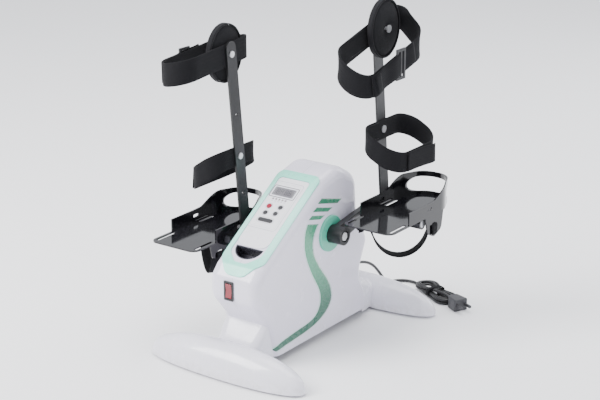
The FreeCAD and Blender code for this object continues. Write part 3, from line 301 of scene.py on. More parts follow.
lamp = Mat("lamp_lens", rough=0.2, coat=0.3)
lamp.color(lamp.mix(lamp.range(lamp.noise(400, 2), 0.3, 0.7), (0.16, 0.13, 0.15), (0.30, 0.22, 0.24)))


def dark(name, color, lo, hi, bump_scale, bump_dist, coat=0.0, worn=(0.11, 0.11, 0.12), amount=0.4, spec=0.5):
    m = Mat(name, rough=(lo + hi) / 2, coat=coat, spec=spec)
    m.color(scuffed(m, color, worn, amount, 40.0))
    m.rough(m.range(m.noise(45.0, 5.0), 0.3, 0.75, lo, hi))
    m.bump(m.noise(bump_scale, 3.0, 0.6), bump_dist, 0.5)
    return m


dark_plastic = dark("dark_moulding", (0.012, 0.012, 0.014), 0.32, 0.5, 1400.0, 0.00008)
key_rubber = dark("key_rubber", (0.028, 0.028, 0.032), 0.4, 0.55, 1800.0, 0.00006)
cup_plastic = Mat("grip_recess_moulding", rough=0.25, coat=0.3)
c = scuffed(cup_plastic, (0.035, 0.034, 0.045), (0.16, 0.16, 0.19), 0.5, 36.0)
cup_plastic.color(c).rough(cup_plastic.range(cup_plastic.noise(45.0, 5.0), 0.3, 0.75, 0.18, 0.34)).bump(cup_plastic.noise(900.0, 3.0), 0.00008, 0.4)
red_key = dark("red_key_rubber", (0.28, 0.012, 0.035), 0.3, 0.45, 1500.0, 0.00006, worn=(0.5, 0.12, 0.15))
rocker = dark("red_rocker_moulding", (0.24, 0.005, 0.016), 0.14, 0.26, 800.0, 0.00005, coat=0.5, worn=(0.30, 0.02, 0.035))
steel_coat = dark("black_powder_coat", (0.008, 0.008, 0.0095), 0.32, 0.46, 1500.0, 0.00016, worn=(0.03, 0.03, 0.033), amount=0.4)
gloss = dark("black_gloss_plate", (0.005, 0.005, 0.0065), 0.06, 0.15, 500.0, 0.00002, coat=0.12, worn=(0.014, 0.014, 0.017), amount=0.6, spec=0.45)
pvc = dark("black_lead_sheath", (0.010, 0.010, 0.011), 0.3, 0.42, 900.0, 0.00006)
foot_rubber = dark("foot_rubber", (0.03, 0.03, 0.03), 0.6, 0.8, 900.0, 0.0003, worn=(0.14, 0.13, 0.12))
belt_rubber = dark("belt_rubber", (0.02, 0.02, 0.02), 0.55, 0.7, 1200.0, 0.0002)
plug_mat = dark("grey_plug_moulding", (0.045, 0.045, 0.05), 0.4, 0.55, 1100.0, 0.0001)


def metal(name, color, lo, hi, stretch, scale=160.0, worn=(0.35, 0.34, 0.33), amount=0.4):
    m = Mat(name, rough=(lo + hi) / 2, metal=1.0)
    m.color(scuffed(m, color, worn, amount, 50.0))
    brush = m.noise(scale, 4.0, 0.6, stretch)
    m.rough(m.range(brush, 0.3, 0.7, lo, hi)).bump(brush, 0.00008, 0.3)
    return m


zinc = metal("zinc_plated_steel", (0.60, 0.61, 0.64), 0.28, 0.42, (1, 12, 1))
bright = metal("bearing_steel", (0.72, 0.72, 0.73), 0.14, 0.26, (20, 1, 1))
screw_mat = Mat("nickel_screw", rough=0.3, metal=0.8)
screw_mat.color(scuffed(screw_mat, (0.78, 0.78, 0.80), (0.62, 0.61, 0.60), 0.25, 120.0))
screw_mat.rough(screw_mat.range(screw_mat.noise(500.0, 3.0), 0.3, 0.7, 0.28, 0.42)).bump(screw_mat.noise(1500.0, 2.0), 0.00001, 0.25)
alu = metal("cast_aluminium", (0.66, 0.67, 0.69), 0.36, 0.52, (6, 1, 1))
motor = dark("motor_paint", (0.10, 0.105, 0.12), 0.35, 0.5, 900.0, 0.0001, worn=(0.3, 0.3, 0.31))
board = dark("circuit_board", (0.02, 0.14, 0.06), 0.3, 0.5, 500.0, 0.0002, worn=(0.25, 0.22, 0.10), amount=0.7)


def weave(name, color, light, along=620.0, across=900.0, rib=0.0):
    """Webbing: twill ribs from the piece's own UV (u across, v along, both in metres)."""
    m = Mat(name, rough=0.86, spec=0.08, sheen=0.03)
    sep = m.n("ShaderNodeSeparateXYZ")
    m.link(m.uv(), sep.inputs[0])
    u, v = sep.outputs[0], sep.outputs[1]
    zig = m.math("PINGPONG", m.math("MULTIPLY", u, 1.0), 0.0035)
    w1 = m.math("SINE", m.math("MULTIPLY", m.math("ADD", v, m.math("MULTIPLY", zig, 0.9)), along * 6.283))
    w2 = m.math("SINE", m.math("MULTIPLY", u, across * 6.283))
    h = m.math("ADD", m.math("MULTIPLY", w1, 0.35), m.math("MULTIPLY", w2, 0.22))
    h = m.math("ADD", h, m.math("MULTIPLY", m.noise(900.0, 3.0, 0.6), 0.7))
    tone = m.range(h, -0.3, 1.0)
    c = m.mix(tone, color, light)
    lint = m.range(m.noise(260.0, 6.0, 0.8), 0.66, 0.8)
    c = m.mix(m.math("MULTIPLY", lint, 0.22), c, (0.06, 0.06, 0.065))
    m.color(c).rough(m.range(tone, 0.0, 1.0, 0.92, 0.7)).bump(h, 0.00035, 0.6)
    return m


webbing = weave("black_webbing", (0.0045, 0.0045, 0.0055), (0.016, 0.016, 0.018))
velcro = weave("hook_and_loop", (0.004, 0.004, 0.005), (0.013, 0.013, 0.015), 300.0, 300.0)

fabric = Mat("brushed_knit", rough=0.92, spec=0.08, sheen=0.04)
v1 = fabric.n("ShaderNodeTexVoronoi")
v1.inputs["Scale"].default_value = 620.0
fabric.link(fabric.p(), v1.inputs["Vector"])
h = fabric.math("ADD", fabric.math("MULTIPLY", v1.outputs["Distance"], 0.8), fabric.noise(380.0, 5.0, 0.7))
c = fabric.mix(fabric.range(h, 0.3, 1.3), (0.004, 0.004, 0.005), (0.017, 0.017, 0.019))
c = fabric.mix(fabric.math("MULTIPLY", fabric.range(fabric.noise(24.0, 3.0), 0.45, 0.75), 0.4), c, (0.014, 0.014, 0.015))
fabric.color(c).rough(fabric.range(h, 0.3, 1.2, 0.95, 0.78)).bump(h, 0.0005, 0.7)
binding = weave("edge_binding", (0.007, 0.007, 0.008), (0.024, 0.024, 0.027), 900.0, 300.0)
thread = dark("sewing_thread", (0.028, 0.028, 0.031), 0.5, 0.7, 3000.0, 0.0001)

# green graphic: deep green shading lighter in the middle
green = Mat("green_graphic", rough=0.26, coat=0.3)
gz = green.axis("Z")
c = green.mix(green.range(gz, 0.05, 0.17, 0, 1, True), (0.016, 0.120, 0.070), (0.075, 0.340, 0.200))
c = green.mix(green.range(gz, 0.19, 0.285, 0, 1, True), c, (0.042, 0.200, 0.115))
c = green.mix(green.math("MULTIPLY", green.range(green.noise(70.0, 5.0, 0.7), 0.6, 0.8), 0.10), c, (0.16, 0.42, 0.30))
green.color(c).rough(green.range(green.noise(70.0, 4.0), 0.3, 0.7, 0.2, 0.34)).bump(green.noise(900, 2), 0.00004, 0.2)
halo = Mat("pale_mint_graphic", rough=0.28, coat=0.3)
halo.color(halo.mix(halo.range(halo.noise(40.0, 5.0, 0.7), 0.4, 0.8), (0.56, 0.74, 0.70), (0.66, 0.78, 0.77)))
halo.rough(halo.range(halo.noise(70.0, 4.0), 0.3, 0.7, 0.2, 0.34))


def give(m, *names):
    for n in names:
        o = N[n]
        o.data.materials.clear()
        o.data.materials.append(m.m)


give(white, "shell_left", "shell_right")
give(foot_white, "front_foot_cover", "rear_foot_cover")
give(panel, "console_panel")
give(mint, "console_bezel")
give(mint2, "hub_cover_left", "hub_cover_right")
give(lcd, "display_window")
give(lamp, "indicator_lights")
give(cup_plastic, "grip_cup")
give(dark_plastic, "switch_housing", "cord_gland", "knee_buckle_left", "knee_buckle_right", "cord_tie")
give(key_rubber, "button_speed_up", "button_speed_down", "button_mode", "button_stop")
give(red_key, "button_start")
give(rocker, "power_rocker")
give(screw_mat, "housing_screws", "crank_bolts", "bar_fasteners_left", "bar_fasteners_right")
give(zinc, "front_cross_tube", "rear_cross_tube", "base_frame", "bearing_plate_left", "bearing_plate_right", "crank_shaft",
     "pedal_spindle_left", "pedal_spindle_right")
give(bright, "axle_bearings")
give(motor, "gearmotor")
give(alu, "motor_pulley", "crank_pulley")
give(belt_rubber, "drive_belt")
give(board, "control_board")
give(foot_rubber, "rubber_feet")
give(pvc, "mains_cord", "cord_hank")
give(steel_coat, "crank_arm_left", "crank_arm_right", "leg_bar_left", "leg_bar_right")
give(gloss, "foot_plate_left", "foot_plate_right", "pedal_hub_left", "pedal_hub_right")
give(plug_mat, "mains_plug")
for nm in N:      # smooth shading on the carried-over curved pieces, hard at real edges
    for poly in N[nm].data.polygons:
        poly.use_smooth = True
    if not any(mod.type == "NODES" for mod in N[nm].modifiers):
        sm = N[nm].modifiers.new("edges", "EDGE_SPLIT")
        sm.split_angle = math.radians(28)


# ---------------------------------------------------------------- mesh helpers
def add(name, verts, faces, mat, body, uvs=None, smooth=True):
    me = bpy.data.meshes.new(name)
    me.from_pydata([tuple(v) for v in verts], [], faces)
    if uvs:
        layer = me.uv_layers.new(name="UVMap")
        k = 0
        for f in uvs:
            for c_ in f:
                layer.data[k].uv = c_
                k += 1
    me.validate()
    o = bpy.data.objects.new(name, me)
    bpy.context.scene.collection.objects.link(o)
    me.materials.append(mat.m)
    for p_ in me.polygons:
        p_.use_smooth = smooth
    if body:
        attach(o, body)
    return o


def resample(pts, step, closed=False):
    P = [Vector(p_) for p_ in pts]
    if closed:
        P = P + [P[0]]
    acc = [0.0]
    for a, b in zip(P, P[1:]):
        acc.append(acc[-1] + (b - a).length)
    n = max(2, int(round(acc[-1] / step)))
    out, j = [], 0
    for i in range(n + (0 if closed else 1)):
        d = acc[-1] * i / n
        while j < len(acc) - 2 and acc[j + 1] < d:
            j += 1
        f = (d - acc[j]) / max(acc[j + 1] - acc[j], 1e-9)
        out.append(P[j].lerp(P[j + 1], f))
    return out


def smooth_path(pts, closed=False, rounds=2):
    """Corner cutting: turns a few given points into a soft line."""
    P = [Vector(p_) for p_ in pts]
    for _ in range(rounds):
        Q = []
        m_ = len(P)
        rng = range(m_) if closed else range(m_ - 1)
        if not closed:
            Q.append(P[0])
        for i in rng:
            a, b = P[i], P[(i + 1) % m_]
            Q += [a.lerp(b, 0.25), a.lerp(b, 0.75)]
        if not closed:
            Q.append(P[-1])
        P = Q
    return P


def corner_path(points, step=0.004):
    """Closed outline [(x, y, r)] in mm -> evenly spaced points with round corners."""
    n, out = len(points), []
    for i in range(n):
        p_ = Vector(points[i][:2])
        a = (Vector(points[i - 1][:2]) - p_).normalized()
        b = (Vector(points[(i + 1) % n][:2]) - p_).normalized()
        half = a.angle(b) / 2
        r = points[i][2]
        t = r / math.tan(half)
        cc = p_ + (a + b).normalized() * (r / math.sin(half))
        s0, s1 = p_ + a * t - cc, p_ + b * t - cc
        total = s0.angle(s1)
        sign = 1 if s0.x * s1.y - s0.y * s1.x > 0 else -1
        m_ = max(3, int(total * r / 4))
        for k in range(m_ + 1):
            ang = sign * total * k / m_
            out.append(cc + Vector((s0.x * math.cos(ang) - s0.y * math.sin(ang), s0.x * math.sin(ang) + s0.y * math.cos(ang))))
    return resample([Vector((q.x, q.y, 0)) for q in out], step * 1000, True)


def band(name, pts, widths, width, thick, mat, body, closed=False, taper=None, wavy=0.0):
    """Flat webbing along pts (metres); widths gives the across direction at each point."""
    n = len(pts)
    sec = [(-0.5, -0.18), (-0.5 + 0.02, -0.5), (-0.25, -0.5), (0, -0.5), (0.25, -0.5), (0.5 - 0.02, -0.5),
           (0.5, -0.18), (0.5, 0.18), (0.5 - 0.02, 0.5), (0.25, 0.5), (0, 0.5), (-0.25, 0.5), (-0.5 + 0.02, 0.5), (-0.5, 0.18)]
    verts, along = [], [0.0]
    for i in range(n):
        prev, nxt = pts[i - 1] if (i or closed) else pts[i], pts[(i + 1) % n] if (i < n - 1 or closed) else pts[i]
        t = (nxt - prev).normalized()
        w = widths[i] if isinstance(widths, list) else widths
        w = (w - t * w.dot(t)).normalized()
        nn = t.cross(w)
        ww = width * (taper(i / (n - 1)) if taper else 1.0)
        for a, b in sec:
            off = wavy * math.sin(i * 0.9 + a * 3.0) * abs(a) * 2
            verts.append(pts[i] + w * (a * ww) + nn * (b * thick + off))
        if i:
            along.append(along[-1] + (pts[i] - pts[i - 1]).length)
    k = len(sec)
    faces, uvs = [], []
    ru = [a * width for a, b in sec] + [sec[0][0] * width]
    m_ = n if closed else n - 1
    along.append(along[-1] + (pts[0] - pts[-1]).length)
    for i in range(m_):
        j = (i + 1) % n
        for q in range(k):
            r = (q + 1) % k
            faces.append((i * k + q, i * k + r, j * k + r, j * k + q))
            uvs.append([(ru[q], along[i]), (ru[r], along[i]), (ru[r], along[i + 1]), (ru[q], along[i + 1])])
    if not closed:
        for i, order in ((0, 1), (n - 1, -1)):
            f = [i * k + q for q in range(k)]
            faces.append(f[::-order])
            uvs.append([(ru[q % k], along[i]) for q in range(k)][::-order])
    o = add(name, verts, faces, mat, None, uvs)
    bm = bmesh.new()
    bm.from_mesh(o.data)
    bmesh.ops.recalc_face_normals(bm, faces=bm.faces)
    bm.to_mesh(o.data)
    bm.free()
    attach(o, body)
    return o


def stitches(name, pts, normal, length, gap, r, mat, body):
    """A run of separate sewn stitches lying on a surface."""
    P = resample(pts, length + gap)
    verts, faces = [], []
    for a, b in zip(P, P[1:]):
        d = (b - a).normalized()
        e = a + d * length
        side = d.cross(normal).normalized()
        base = len(verts)
        ring = [(-1, 0), (-0.7, 0.75), (0.7, 0.75), (1, 0), (0.7, -0.75), (-0.7, -0.75)]
        for p_, h_ in ((a, -0.4), (a.lerp(e, 0.25), 0.6), (a.lerp(e, 0.75), 0.6), (e, -0.4)):
            for u_, v_ in ring:
                verts.append(p_ + side * (u_ * r) + normal * ((v_ + h_) * r))
        for s_ in range(3):
            for q in range(6):
                faces.append((base + s_ * 6 + q, base + s_ * 6 + (q + 1) % 6, base + (s_ + 1) * 6 + (q + 1) % 6, base + (s_ + 1) * 6 + q))
        faces.append(tuple(base + q for q in range(5, -1, -1)))
        faces.append(tuple(base + 18 + q for q in range(6)))
    return add(name, verts, faces, mat, body)


# ---------------------------------------------------------------- mains lead
GY, GZ = 110.0, 84.0
ROUTE = [(0, GY + 8, GZ), (0, 155, GZ), (0.5, 182, 80.5), (1.2, 208, 73), (2.2, 231, 60), (3.2, 249, 42), (4, 263, 25), (4.8, 277, 9.5),
         (5.7, 295.3, 4.4), (14.1, 310.6, 3.4), (28.9, 320, 3.4), (46.3, 321.2, 3.4), (60.5, 314.8, 3.4)]
HX, HY, HA = 115.7, 288.9, math.radians(-25.0)


def H(x, y, z):
    """Point in the folded hank's own frame: x along it."""
    return (HX + x * math.cos(HA) - y * math.sin(HA), HY + x * math.sin(HA) + y * math.cos(HA), z)


line_pts = [Vector(p_) for p_ in ROUTE]
line_pts += [Vector(H(*p_)) for p_ in ((-48, -3.0, 3.3), (-32, -9, 3.2))]


def turn(h, R, cx1, cx2, z0, z1, z2, z3, first=False, cy=0.0):
    """One fold out and back: lower run to +x, round, back, and round at -x."""
    q = [(0, -h, z0), (cx1 * .5, -(h * .55 + R * .45), z0), (cx1, -R, z0), (cx1 + R * .74, -R * .74, z0), (cx1 + R * 1.02, 0, (z0 + z1) / 2),
         (cx1 + R * .74, R * .74, z1), (cx1, R, z1), (cx1 * .5, h * .55 + R * .45, z1), (0, h, z1), (-cx2 * .5, h * .55 + R * .45, z2),
         (-cx2, R, z2), (-cx2 - R * .74, R * .74, z2), (-cx2 - R * 1.02, 0, z2), (-cx2 - R * .74, -R * .74, z3), (-cx2, -R, z3),
         (-cx2 * .5, -(h * .55 + R * .45), z3)]
    return [Vector(H(a, b + cy * (1 if b > 0 else .4) * min(1, abs(a) / 30), c_)) for a, b, c_ in (q[1:] if first else q)]


line_pts += [Vector(H(-14, -14.4, 3.2))]
line_pts += turn(14.2, 20.0, 33, 33, 3.2, 3.2, 9.6, 9.4, first=True)
line_pts += turn(8.0, 14.0, 34, 30, 3.6, 3.4, 9.2, 9.4)
line_pts += turn(8.2, 15.0, 31, 34, 9.6, 9.6, 13.4, 15.6, cy=2.0)
line_pts += turn(14.4, 20.5, 34, 30, 9.8, 9.8, 12.5, 15.6, cy=3.0)
line_pts += [Vector(H(*p_)) for p_ in ((-4, -9, 15.8), (14, -4, 15.6), (32, 0, 15.2), (46, 0.5, 14.2), (56, 0, 12.8), (63, 0, 12.4))]
cu = bpy.data.curves.new("mains_lead", "CURVE")
cu.dimensions = "3D"
cu.bevel_depth = 0.003
cu.bevel_resolution = 5
cu.resolution_u = 8
sp_ = cu.splines.new("NURBS")
sp_.points.add(len(line_pts) - 1)
for k, q in enumerate(line_pts):
    sp_.points[k].co = (q.x / 1000, (q.y + YS) / 1000, q.z / 1000, 1)
sp_.order_u = 3
sp_.use_endpoint_u = True
cu.materials.append(pvc.m)
lead = bpy.data.objects.new("mains_lead", cu)
bpy.context.scene.collection.objects.link(lead)
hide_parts("mains_cord", "cord_hank")
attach(lead, "housing")
bare = cu.copy()
bare.bevel_depth = 0
tmp = bpy.data.objects.new("tmp_bare", bare)
tm = bpy.data.meshes.new_from_object(tmp)
bpy.data.meshes.remove(tm)
bpy.data.objects.remove(tmp)
bpy.data.curves.remove(bare)

# the hank's tie: a soft band pulled round the runs, in place of the plain one
tie_pts = []
for k in range(40):
    a = 2 * math.pi * k / 40
    yy, zz = math.cos(a), math.sin(a)
    ex = abs(yy) ** 0.7 * math.copysign(1, yy) * 19.2
    ez = 9.9 + abs(zz) ** 0.62 * math.copysign(1, zz) * 9.2
    q = H(0, ex, ez)
    tie_pts.append(W(*q))
tie = band("hank_tie", tie_pts, Vector((math.cos(HA), math.sin(HA), 0)), 0.009, 0.0014, velcro, "housing", closed=True)
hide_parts("cord_tie")

# ---------------------------------------------------------------- decals on both side panels
trees = {}


def tree(node):
    if node not in trees:
        me = N[node].data
        trees[node] = BVHTree.FromPolygons([v.co.copy() for v in me.vertices], [tuple(p_.vertices) for p_ in me.polygons])
    return trees[node]


def decal(name, left, right, s, lift, mat, rows=60, cols=6):
    shell = tree("shell_right" if s > 0 else "shell_left")
    A = smooth_path([Vector((0, y, z)) for y, z in left], rounds=3) if len(left) > 2 else [Vector((0, y, z)) for y, z in left]
    B = smooth_path([Vector((0, y, z)) for y, z in right], rounds=3) if len(right) > 2 else [Vector((0, y, z)) for y, z in right]

    def even(P, n):
        L_ = sum((b - a).length for a, b in zip(P, P[1:]))
        Q = resample(P, L_ / n)
        return Q[:n + 1] if len(Q) > n else Q + [P[-1]] * (n + 1 - len(Q))
    A, B = even(A, rows), even(B, rows)
    verts, faces = [], []
    for i in range(rows + 1):
        for j in range(cols + 1):
            q = A[i].lerp(B[i], j / cols)
            org = Vector((s * 0.2, (q.y + YS) / 1000, q.z / 1000))
            hit = shell.ray_cast(org, Vector((-s, 0, 0)))
            base = hit[0] if hit[0] is not None else Vector((s * 0.055, org.y, org.z))
            nn = hit[1] if hit[0] is not None else Vector((s, 0, 0))
            if nn.x * s < 0:
                nn = -nn
            verts.append(base + nn * lift)
    k = cols + 1
    for i in range(rows):
        for j in range(cols):
            f = (i * k + j, i * k + j + 1, (i + 1) * k + j + 1, (i + 1) * k + j)
            faces.append(f if s > 0 else f[::-1])
    o = add(name, verts, faces, mat, None)
    bm = bmesh.new()
    bm.from_mesh(o.data)
    bmesh.ops.recalc_face_normals(bm, faces=bm.faces)
    if bm.faces and sum(f.normal.x for f in bm.faces) * s < 0:
        bmesh.ops.reverse_faces(bm, faces=bm.faces)
    bm.to_mesh(o.data)
    bm.free()
    so = o.modifiers.new("film", "SOLIDIFY")
    so.thickness, so.offset = 0.00022, -1.0
    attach(o, "housing")
    return o


SL = [(-70.8, 244.0), (-78.4, 230.6), (-80.9, 212.6), (-79.6, 193.3), (-70.8, 169.3), (-57.1, 142.3), (-39.6, 116.2), (-30.4, 98.5),
      (-28.7, 83.2), (-32.6, 69.7), (-43.3, 56.1), (-64.9, 49.0), (-99.7, 46.4), (-137.6, 42.8), (-163.0, 39.0), (-174.0, 31.5)]
SR = [(-38.9, 236.0), (-51.6, 220.4), (-57.2, 203.2), (-54.3, 183.3), (-43.7, 163.2), (-27.8, 141.4), (-10.0, 121.1), (2.4, 99.9),
      (6.6, 78.8), (0.4, 63.7), (-15.4, 51.7), (-37.3, 41.9), (-68.8, 35.6), (-111.1, 32.2), (-148.8, 29.9), (-168.0, 26.5)]


def outwards(P, Q, d):
    """Points of P moved away from the matching points of Q by d mm."""
    out = []
    for (a, b), (c_, d_) in zip(P, Q):
        v = Vector((a - c_, b - d_)).normalized() * d
        out.append((a + v.x, b + v.y))
    return out


BARS = [((-26.7, 282.0), (38.6, 264.1), (24.4, 259.1), (-39.1, 275.0)), ((-42.2, 268.9), (7.8, 255.3), (-7.1, 251.3), (-55.2, 263.7)),
        ((-57.3, 256.8), (-16.8, 246.8), (-31.2, 242.7), (-68.0, 251.7))]
for sd, s in (("right", 1), ("left", -1)):
    decal("stripe_halo_" + sd, outwards(SL, SR, 3.4), outwards(SR, SL, 3.8), s, 0.00022, halo, 90, 8)
    decal("stripe_" + sd, SL, SR, s, 0.00048, green, 90, 8)
    for k, (a, b, c_, d_) in enumerate(BARS):
        decal("slant_bar%d_%s" % (k, sd), [a, b], [d_, c_], s, 0.0004, green, 16, 4)


# ---------------------------------------------------------------- leg straps, pads
CR, CA = 97.0, math.radians(11.6)
SPY, SPZ = CR * math.cos(CA), CR * math.sin(CA)
PI_, PO_, T_, RISE = 95.5, 203.0, 2.5, 13.0
LEAN = math.radians(6.0)
GAP, ST, PT = 0.35, 2.4, 20.0


def ring_points(s, pts, yc, zc, out, toe, skin=1.2, step=0.004):
    """Centre line of a leg ring: the outline's inside by half the webbing, on its slanting plane."""
    P = corner_path([(s * x, y, r) for x, y, r in pts], step)
    # shrink by half the strap: move towards the local inside
    res, n = [], len(P)
    cen = sum(P, Vector()) / n
    for i in range(n):
        t = (P[(i + 1) % n] - P[i - 1]).normalized()
        nn = Vector((-t.y, t.x, 0))
        if nn.dot(cen - P[i]) < 0:
            nn = -nn
        q = P[i] + nn * skin
        z = -abs(q.x) * math.tan(out) + q.y * math.tan(toe) / math.cos(out)
        res.append(W(s * (PI_ + GAP) + q.x, yc + q.y, zc + z))
    return res


def cloth_pad(name, yc, zc, s, body):
    """Oval foam pad: blown up as cloth, then dimpled at its rivet."""
    x0 = PI_ + GAP + ST + 0.3
    mid, hy, hz, th = x0 + PT / 2, 45.2, 52.2, 12.5
    verts, faces = [], []
    RN, SG = 9, 48
    for side in (-1, 1):
        for k in range(RN + 1):
            f = k / RN
            r = math.sin(f * math.pi / 2)
            dx = side * th / 2 * (0.35 + 0.65 * math.cos(f * math.pi / 2) ** 0.6) if k < RN else side * 2.2
            for q in range(SG):
                a = 2 * math.pi * q / SG
                verts.append(W(s * (mid + dx), yc + hy * r * math.cos(a), zc + hz * r * math.sin(a)))
    per = (RN + 1) * SG
    for sd_ in range(2):
        for k in range(1, RN):
            for q in range(SG):
                a, b = sd_ * per + k * SG + q, sd_ * per + k * SG + (q + 1) % SG
                faces.append((a, b, b + SG, a + SG))
        faces.append(tuple(sd_ * per + SG + q for q in range(SG)))
    for q in range(SG):
        a, b = RN * SG + q, RN * SG + (q + 1) % SG
        faces.append((a, b, per + b, per + a))
    o = add(name, verts, faces, fabric, None)
    bm = bmesh.new()
    bm.from_mesh(o.data)
    bmesh.ops.delete(bm, geom=[v for v in bm.verts if not v.link_faces], context="VERTS")
    bmesh.ops.recalc_face_normals(bm, faces=bm.faces)
    bm.to_mesh(o.data)
    bm.free()
    sc_ = bpy.context.scene
    vl = bpy.context.view_layer
    rm = o.modifiers.new("remesh", "REMESH")
    rm.mode, rm.voxel_size = "VOXEL", 0.0042
    vl.update()
    me = bpy.data.meshes.new_from_object(o.evaluated_get(bpy.context.evaluated_depsgraph_get()))
    o.modifiers.clear()
    o.data = me
    rest = [v.co.copy() for v in me.vertices]
    cl = o.modifiers.new("cloth", "CLOTH")
    cs = cl.settings
    cs.quality = 5
    cs.mass = 0.3
    cs.use_pressure = True
    cs.uniform_pressure_force = 4.0
    cs.effector_weights.gravity = 0.0
    cs.tension_stiffness = cs.compression_stiffness = 25.0
    cs.bending_stiffness = 3.0
    cl.point_cache.frame_start, cl.point_cache.frame_end = 1, 18
    for fr in range(1, 19):
        sc_.frame_set(fr)
    vl.update()
    ev = o.evaluated_get(bpy.context.evaluated_depsgraph_get())
    new = [v.co.copy() for v in ev.data.vertices]
    o.modifiers.clear()
    sc_.frame_set(1)
    for v, a, b in zip(o.data.vertices, rest, new):
        d = b - a
        if d.length > 0.0042:
            d *= 0.0042 / d.length
        v.co = a + d
    # keep it in its space, and press it in under the rivet
    for v in o.data.vertices:
        x, y, z = abs(v.co.x) * 1000, v.co.y * 1000 - YS - yc, v.co.z * 1000 - zc
        r = math.hypot(y, z)
        e = math.hypot(y / 46.6, z / 53.6)
        if e > 1:
            y, z = y / e, z / e
        x = min(max(x, x0), x0 + PT - 0.2)
        if x > mid:
            x -= (x - mid) * 0.62 * math.exp(-(r / 11.0) ** 2)
            x = min(x, x0 + PT - 0.2 - 0.3 * math.exp(-(r / 9.0) ** 2))
        v.co = W(s * x, yc + y, zc + z)
    for p_ in o.data.polygons:
        p_.use_smooth = True
    if not o.data.materials:
        o.data.materials.append(fabric.m)
    sub = o.modifiers.new("fine", "SUBSURF")
    sub.levels = sub.render_levels = 1
    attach(o, body)
    # sewn binding round the rim
    rim, wd = [], []
    for q in range(96):
        a = 2 * math.pi * q / 96
        rim.append(W(s * mid, yc + 46.2 * math.cos(a), zc + 53.2 * math.sin(a)))
    b_ = band(name + "_binding", rim, Vector((1, 0, 0)), 0.0105, 0.0018, binding, body, closed=True, wavy=0.00012)
    for sdx in (-1, 1):
        ring = [W(s * (mid + sdx * 5.4), yc + 45.0 * math.cos(2 * math.pi * q / 120), zc + 52.0 * math.sin(2 * math.pi * q / 120)) for q in range(121)]
        stitches(name + ("_stitch_a" if sdx < 0 else "_stitch_b"), ring, Vector((s * sdx, 0, 0)), 0.0026, 0.0014, 0.00038, thread, body)
    return o


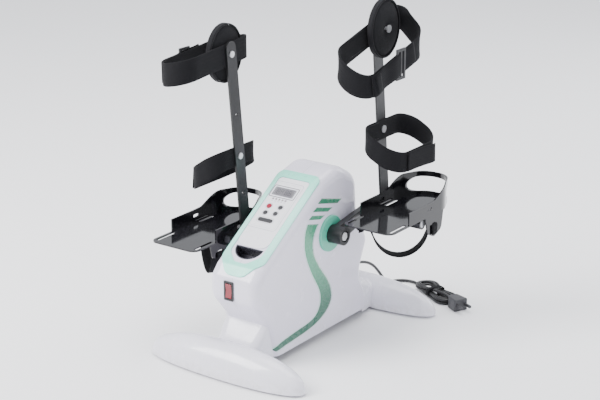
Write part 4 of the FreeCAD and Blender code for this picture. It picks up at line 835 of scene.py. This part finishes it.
UP = Vector((0, 0, 1))
for sd, s in (("right", 1), ("left", -1)):
    PY, PZ = s * SPY, AZ + s * SPZ
    ky, kz = PY + 33.0 - 358.0 * math.tan(LEAN), PZ + 358.0
    cy, cz = PY + 33.0 - 163.0 * math.tan(LEAN), PZ + 163.0
    knee, calf, pedal = "knee_rest_" + sd, "calf_loop_" + sd, "pedal_" + sd

    pad = cloth_pad("knee_cushion_" + sd, ky, kz, s, knee)
    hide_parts("knee_pad_" + sd)

    out, toe = (math.radians(30), math.radians(13)) if s > 0 else (math.radians(12), math.radians(5))
    KR = 72.0
    knee_pts = [(0, 66, 16), (KR, 44, 34), (KR, -150, 35), (0, -150, 34)] if s > 0 else [(0, 66, 16), (KR, 44, 34), (KR, -124, 35), (0, -124, 34)]
    P = ring_points(s, knee_pts, ky, kz, out, toe)
    ks = band("knee_webbing_" + sd, P, UP, 0.042, 0.0024, webbing, knee, closed=True)
    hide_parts("knee_strap_" + sd)
    # loose tail folded back over the buckle, with its hook patch
    idx = [i for i, q in enumerate(P) if abs(q.x) * 1000 > PI_ + KR - 4 and -128 < q.y * 1000 - YS - ky < 8]
    tail = sorted([P[i] for i in idx], key=lambda q: q.y)
    if len(tail) > 4:
        tl = [q + Vector((s * (0.0042 + 0.0012 * math.sin(k * 0.45)), 0, 0.0006 * k * 0.2)) for k, q in enumerate(tail)]
        band("knee_tail_" + sd, tl, UP, 0.0395, 0.0022, velcro, knee)
        mid_ = [q + Vector((s * 0.0016, 0, 0.0)) for q in tl[2:7]]
        band("knee_tail_patch_" + sd, mid_, UP, 0.034, 0.0012, webbing, knee)
    # two rows of stitches where the strap is sewn to itself at the bar
    for dz in (-17.5, 17.5):
        a_, b_ = W(s * (PI_ + GAP + ST + 0.05), ky - 92, kz + dz - 92 * math.tan(toe)), W(s * (PI_ + GAP + ST + 0.05), ky - 56, kz + dz - 56 * math.tan(toe))
        stitches("knee_stitch%s_%s" % ("a" if dz < 0 else "b", sd), [a_, b_], Vector((s, 0, 0)), 0.003, 0.0014, 0.0004, thread, knee)

    CRR = 82.0 if s > 0 else 76.0
    calf_pts = [(0, 78, 34), (82, 76, 40), (82, -80, 40), (0, -82, 34)] if s > 0 else [(0, 66, 28), (76, 62, 36), (76, -60, 36), (0, -62, 28)]
    P = ring_points(s, calf_pts, cy, cz, math.radians(26 if s > 0 else 34), 0.0)
    cs_ = band("calf_webbing_" + sd, P, UP, 0.038, 0.0024, webbing, calf, closed=True)
    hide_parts("calf_strap_" + sd)
    idx = [i for i, q in enumerate(P) if abs(q.x) * 1000 > PI_ + CRR - 6 and -46 < q.y * 1000 - YS - cy < 52]
    tail = sorted([P[i] for i in idx], key=lambda q: q.y)
    if len(tail) > 4:
        tl = [q + Vector((s * (0.0036 + 0.0035 * (k / len(tail)) ** 2), 0, -0.004 * (k / len(tail)) ** 2)) for k, q in enumerate(tail)]
        band("calf_tail_" + sd, tl, UP, 0.036, 0.0022, velcro, calf)
    for dz in (-15.0, 15.0):
        a_, b_ = W(s * (PI_ + GAP + ST + 0.05), cy - 44, cz + dz), W(s * (PI_ + GAP + ST + 0.05), cy - 14, cz + dz)
        stitches("calf_stitch%s_%s" % ("a" if dz < 0 else "b", sd), [a_, b_], Vector((s, 0, 0)), 0.003, 0.0014, 0.0004, thread, calf)

    # foot strap under the plate, through the slots of its side tabs
    mx, ca_, sa_ = (PI_ + PO_) / 2, math.cos(math.radians(39)), math.sin(math.radians(39))

    def F(u, z):
        return W(s * (mx + u * ca_), PY - 1.5 + u * sa_, PZ + z)
    loop = [W(s * 93.2, PY - 47, PZ - 24), W(s * 93.0, PY - 46, PZ - 14), W(s * 93.4, PY - 45, PZ - 8.6), W(s * 96.7, PY - 44, PZ - 7.2),
            W(s * 100.6, PY - 41, PZ - 9.5), F(-53.6, -15)]
    for k in range(1, 20):
        a = math.pi * k / 20
        loop.append(F(-53.8 * math.cos(a), -9 - 61.8 * math.sin(a)))
    loop += [F(53.6, -15), W(s * 198.4, PY + 33, PZ - 9.5), W(s * 201.8, PY + 32.4, PZ - 7.2), W(s * 205.0, PY + 32, PZ - 8.8),
             W(s * 205.6, PY + 32, PZ - 18), W(s * 205.4, PY + 31.6, PZ - 27)]
    Q = resample(smooth_path(loop, rounds=2), 0.0035)
    wd = []
    for k, q in enumerate(Q):
        f = k / (len(Q) - 1)
        e = min(1.0, max(0.0, (min(f, 1 - f) - 0.06) / 0.16))
        e = e * e * (3 - 2 * e)
        wd.append((Vector((0, 1, 0)).lerp(Vector((-s * sa_, ca_, 0)), e)).normalized())
    fs = band("foot_webbing_" + sd, Q, wd, 0.025, 0.0022, webbing, pedal, taper=lambda f: 0.62 + 0.38 * min(1.0, max(0.0, (min(f, 1 - f) - 0.03) / 0.12)))
    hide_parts("foot_strap_" + sd)

# ---------------------------------------------------------------- floor
bm = bmesh.new()
bmesh.ops.create_grid(bm, x_segments=2, y_segments=2, size=9.0)
fm = bpy.data.meshes.new("floor")
bm.to_mesh(fm)
bm.free()
floor = bpy.data.objects.new("floor", fm)
bpy.context.scene.collection.objects.link(floor)
floor.location = (0, 0, -0.0003)
pale = Mat("pale_floor", (0.96, 0.96, 0.975), rough=0.75, spec=0.2)
pale.rough(pale.range(pale.noise(3.0, 2.0), 0.3, 0.7, 0.7, 0.8))
fm.materials.append(pale.m)
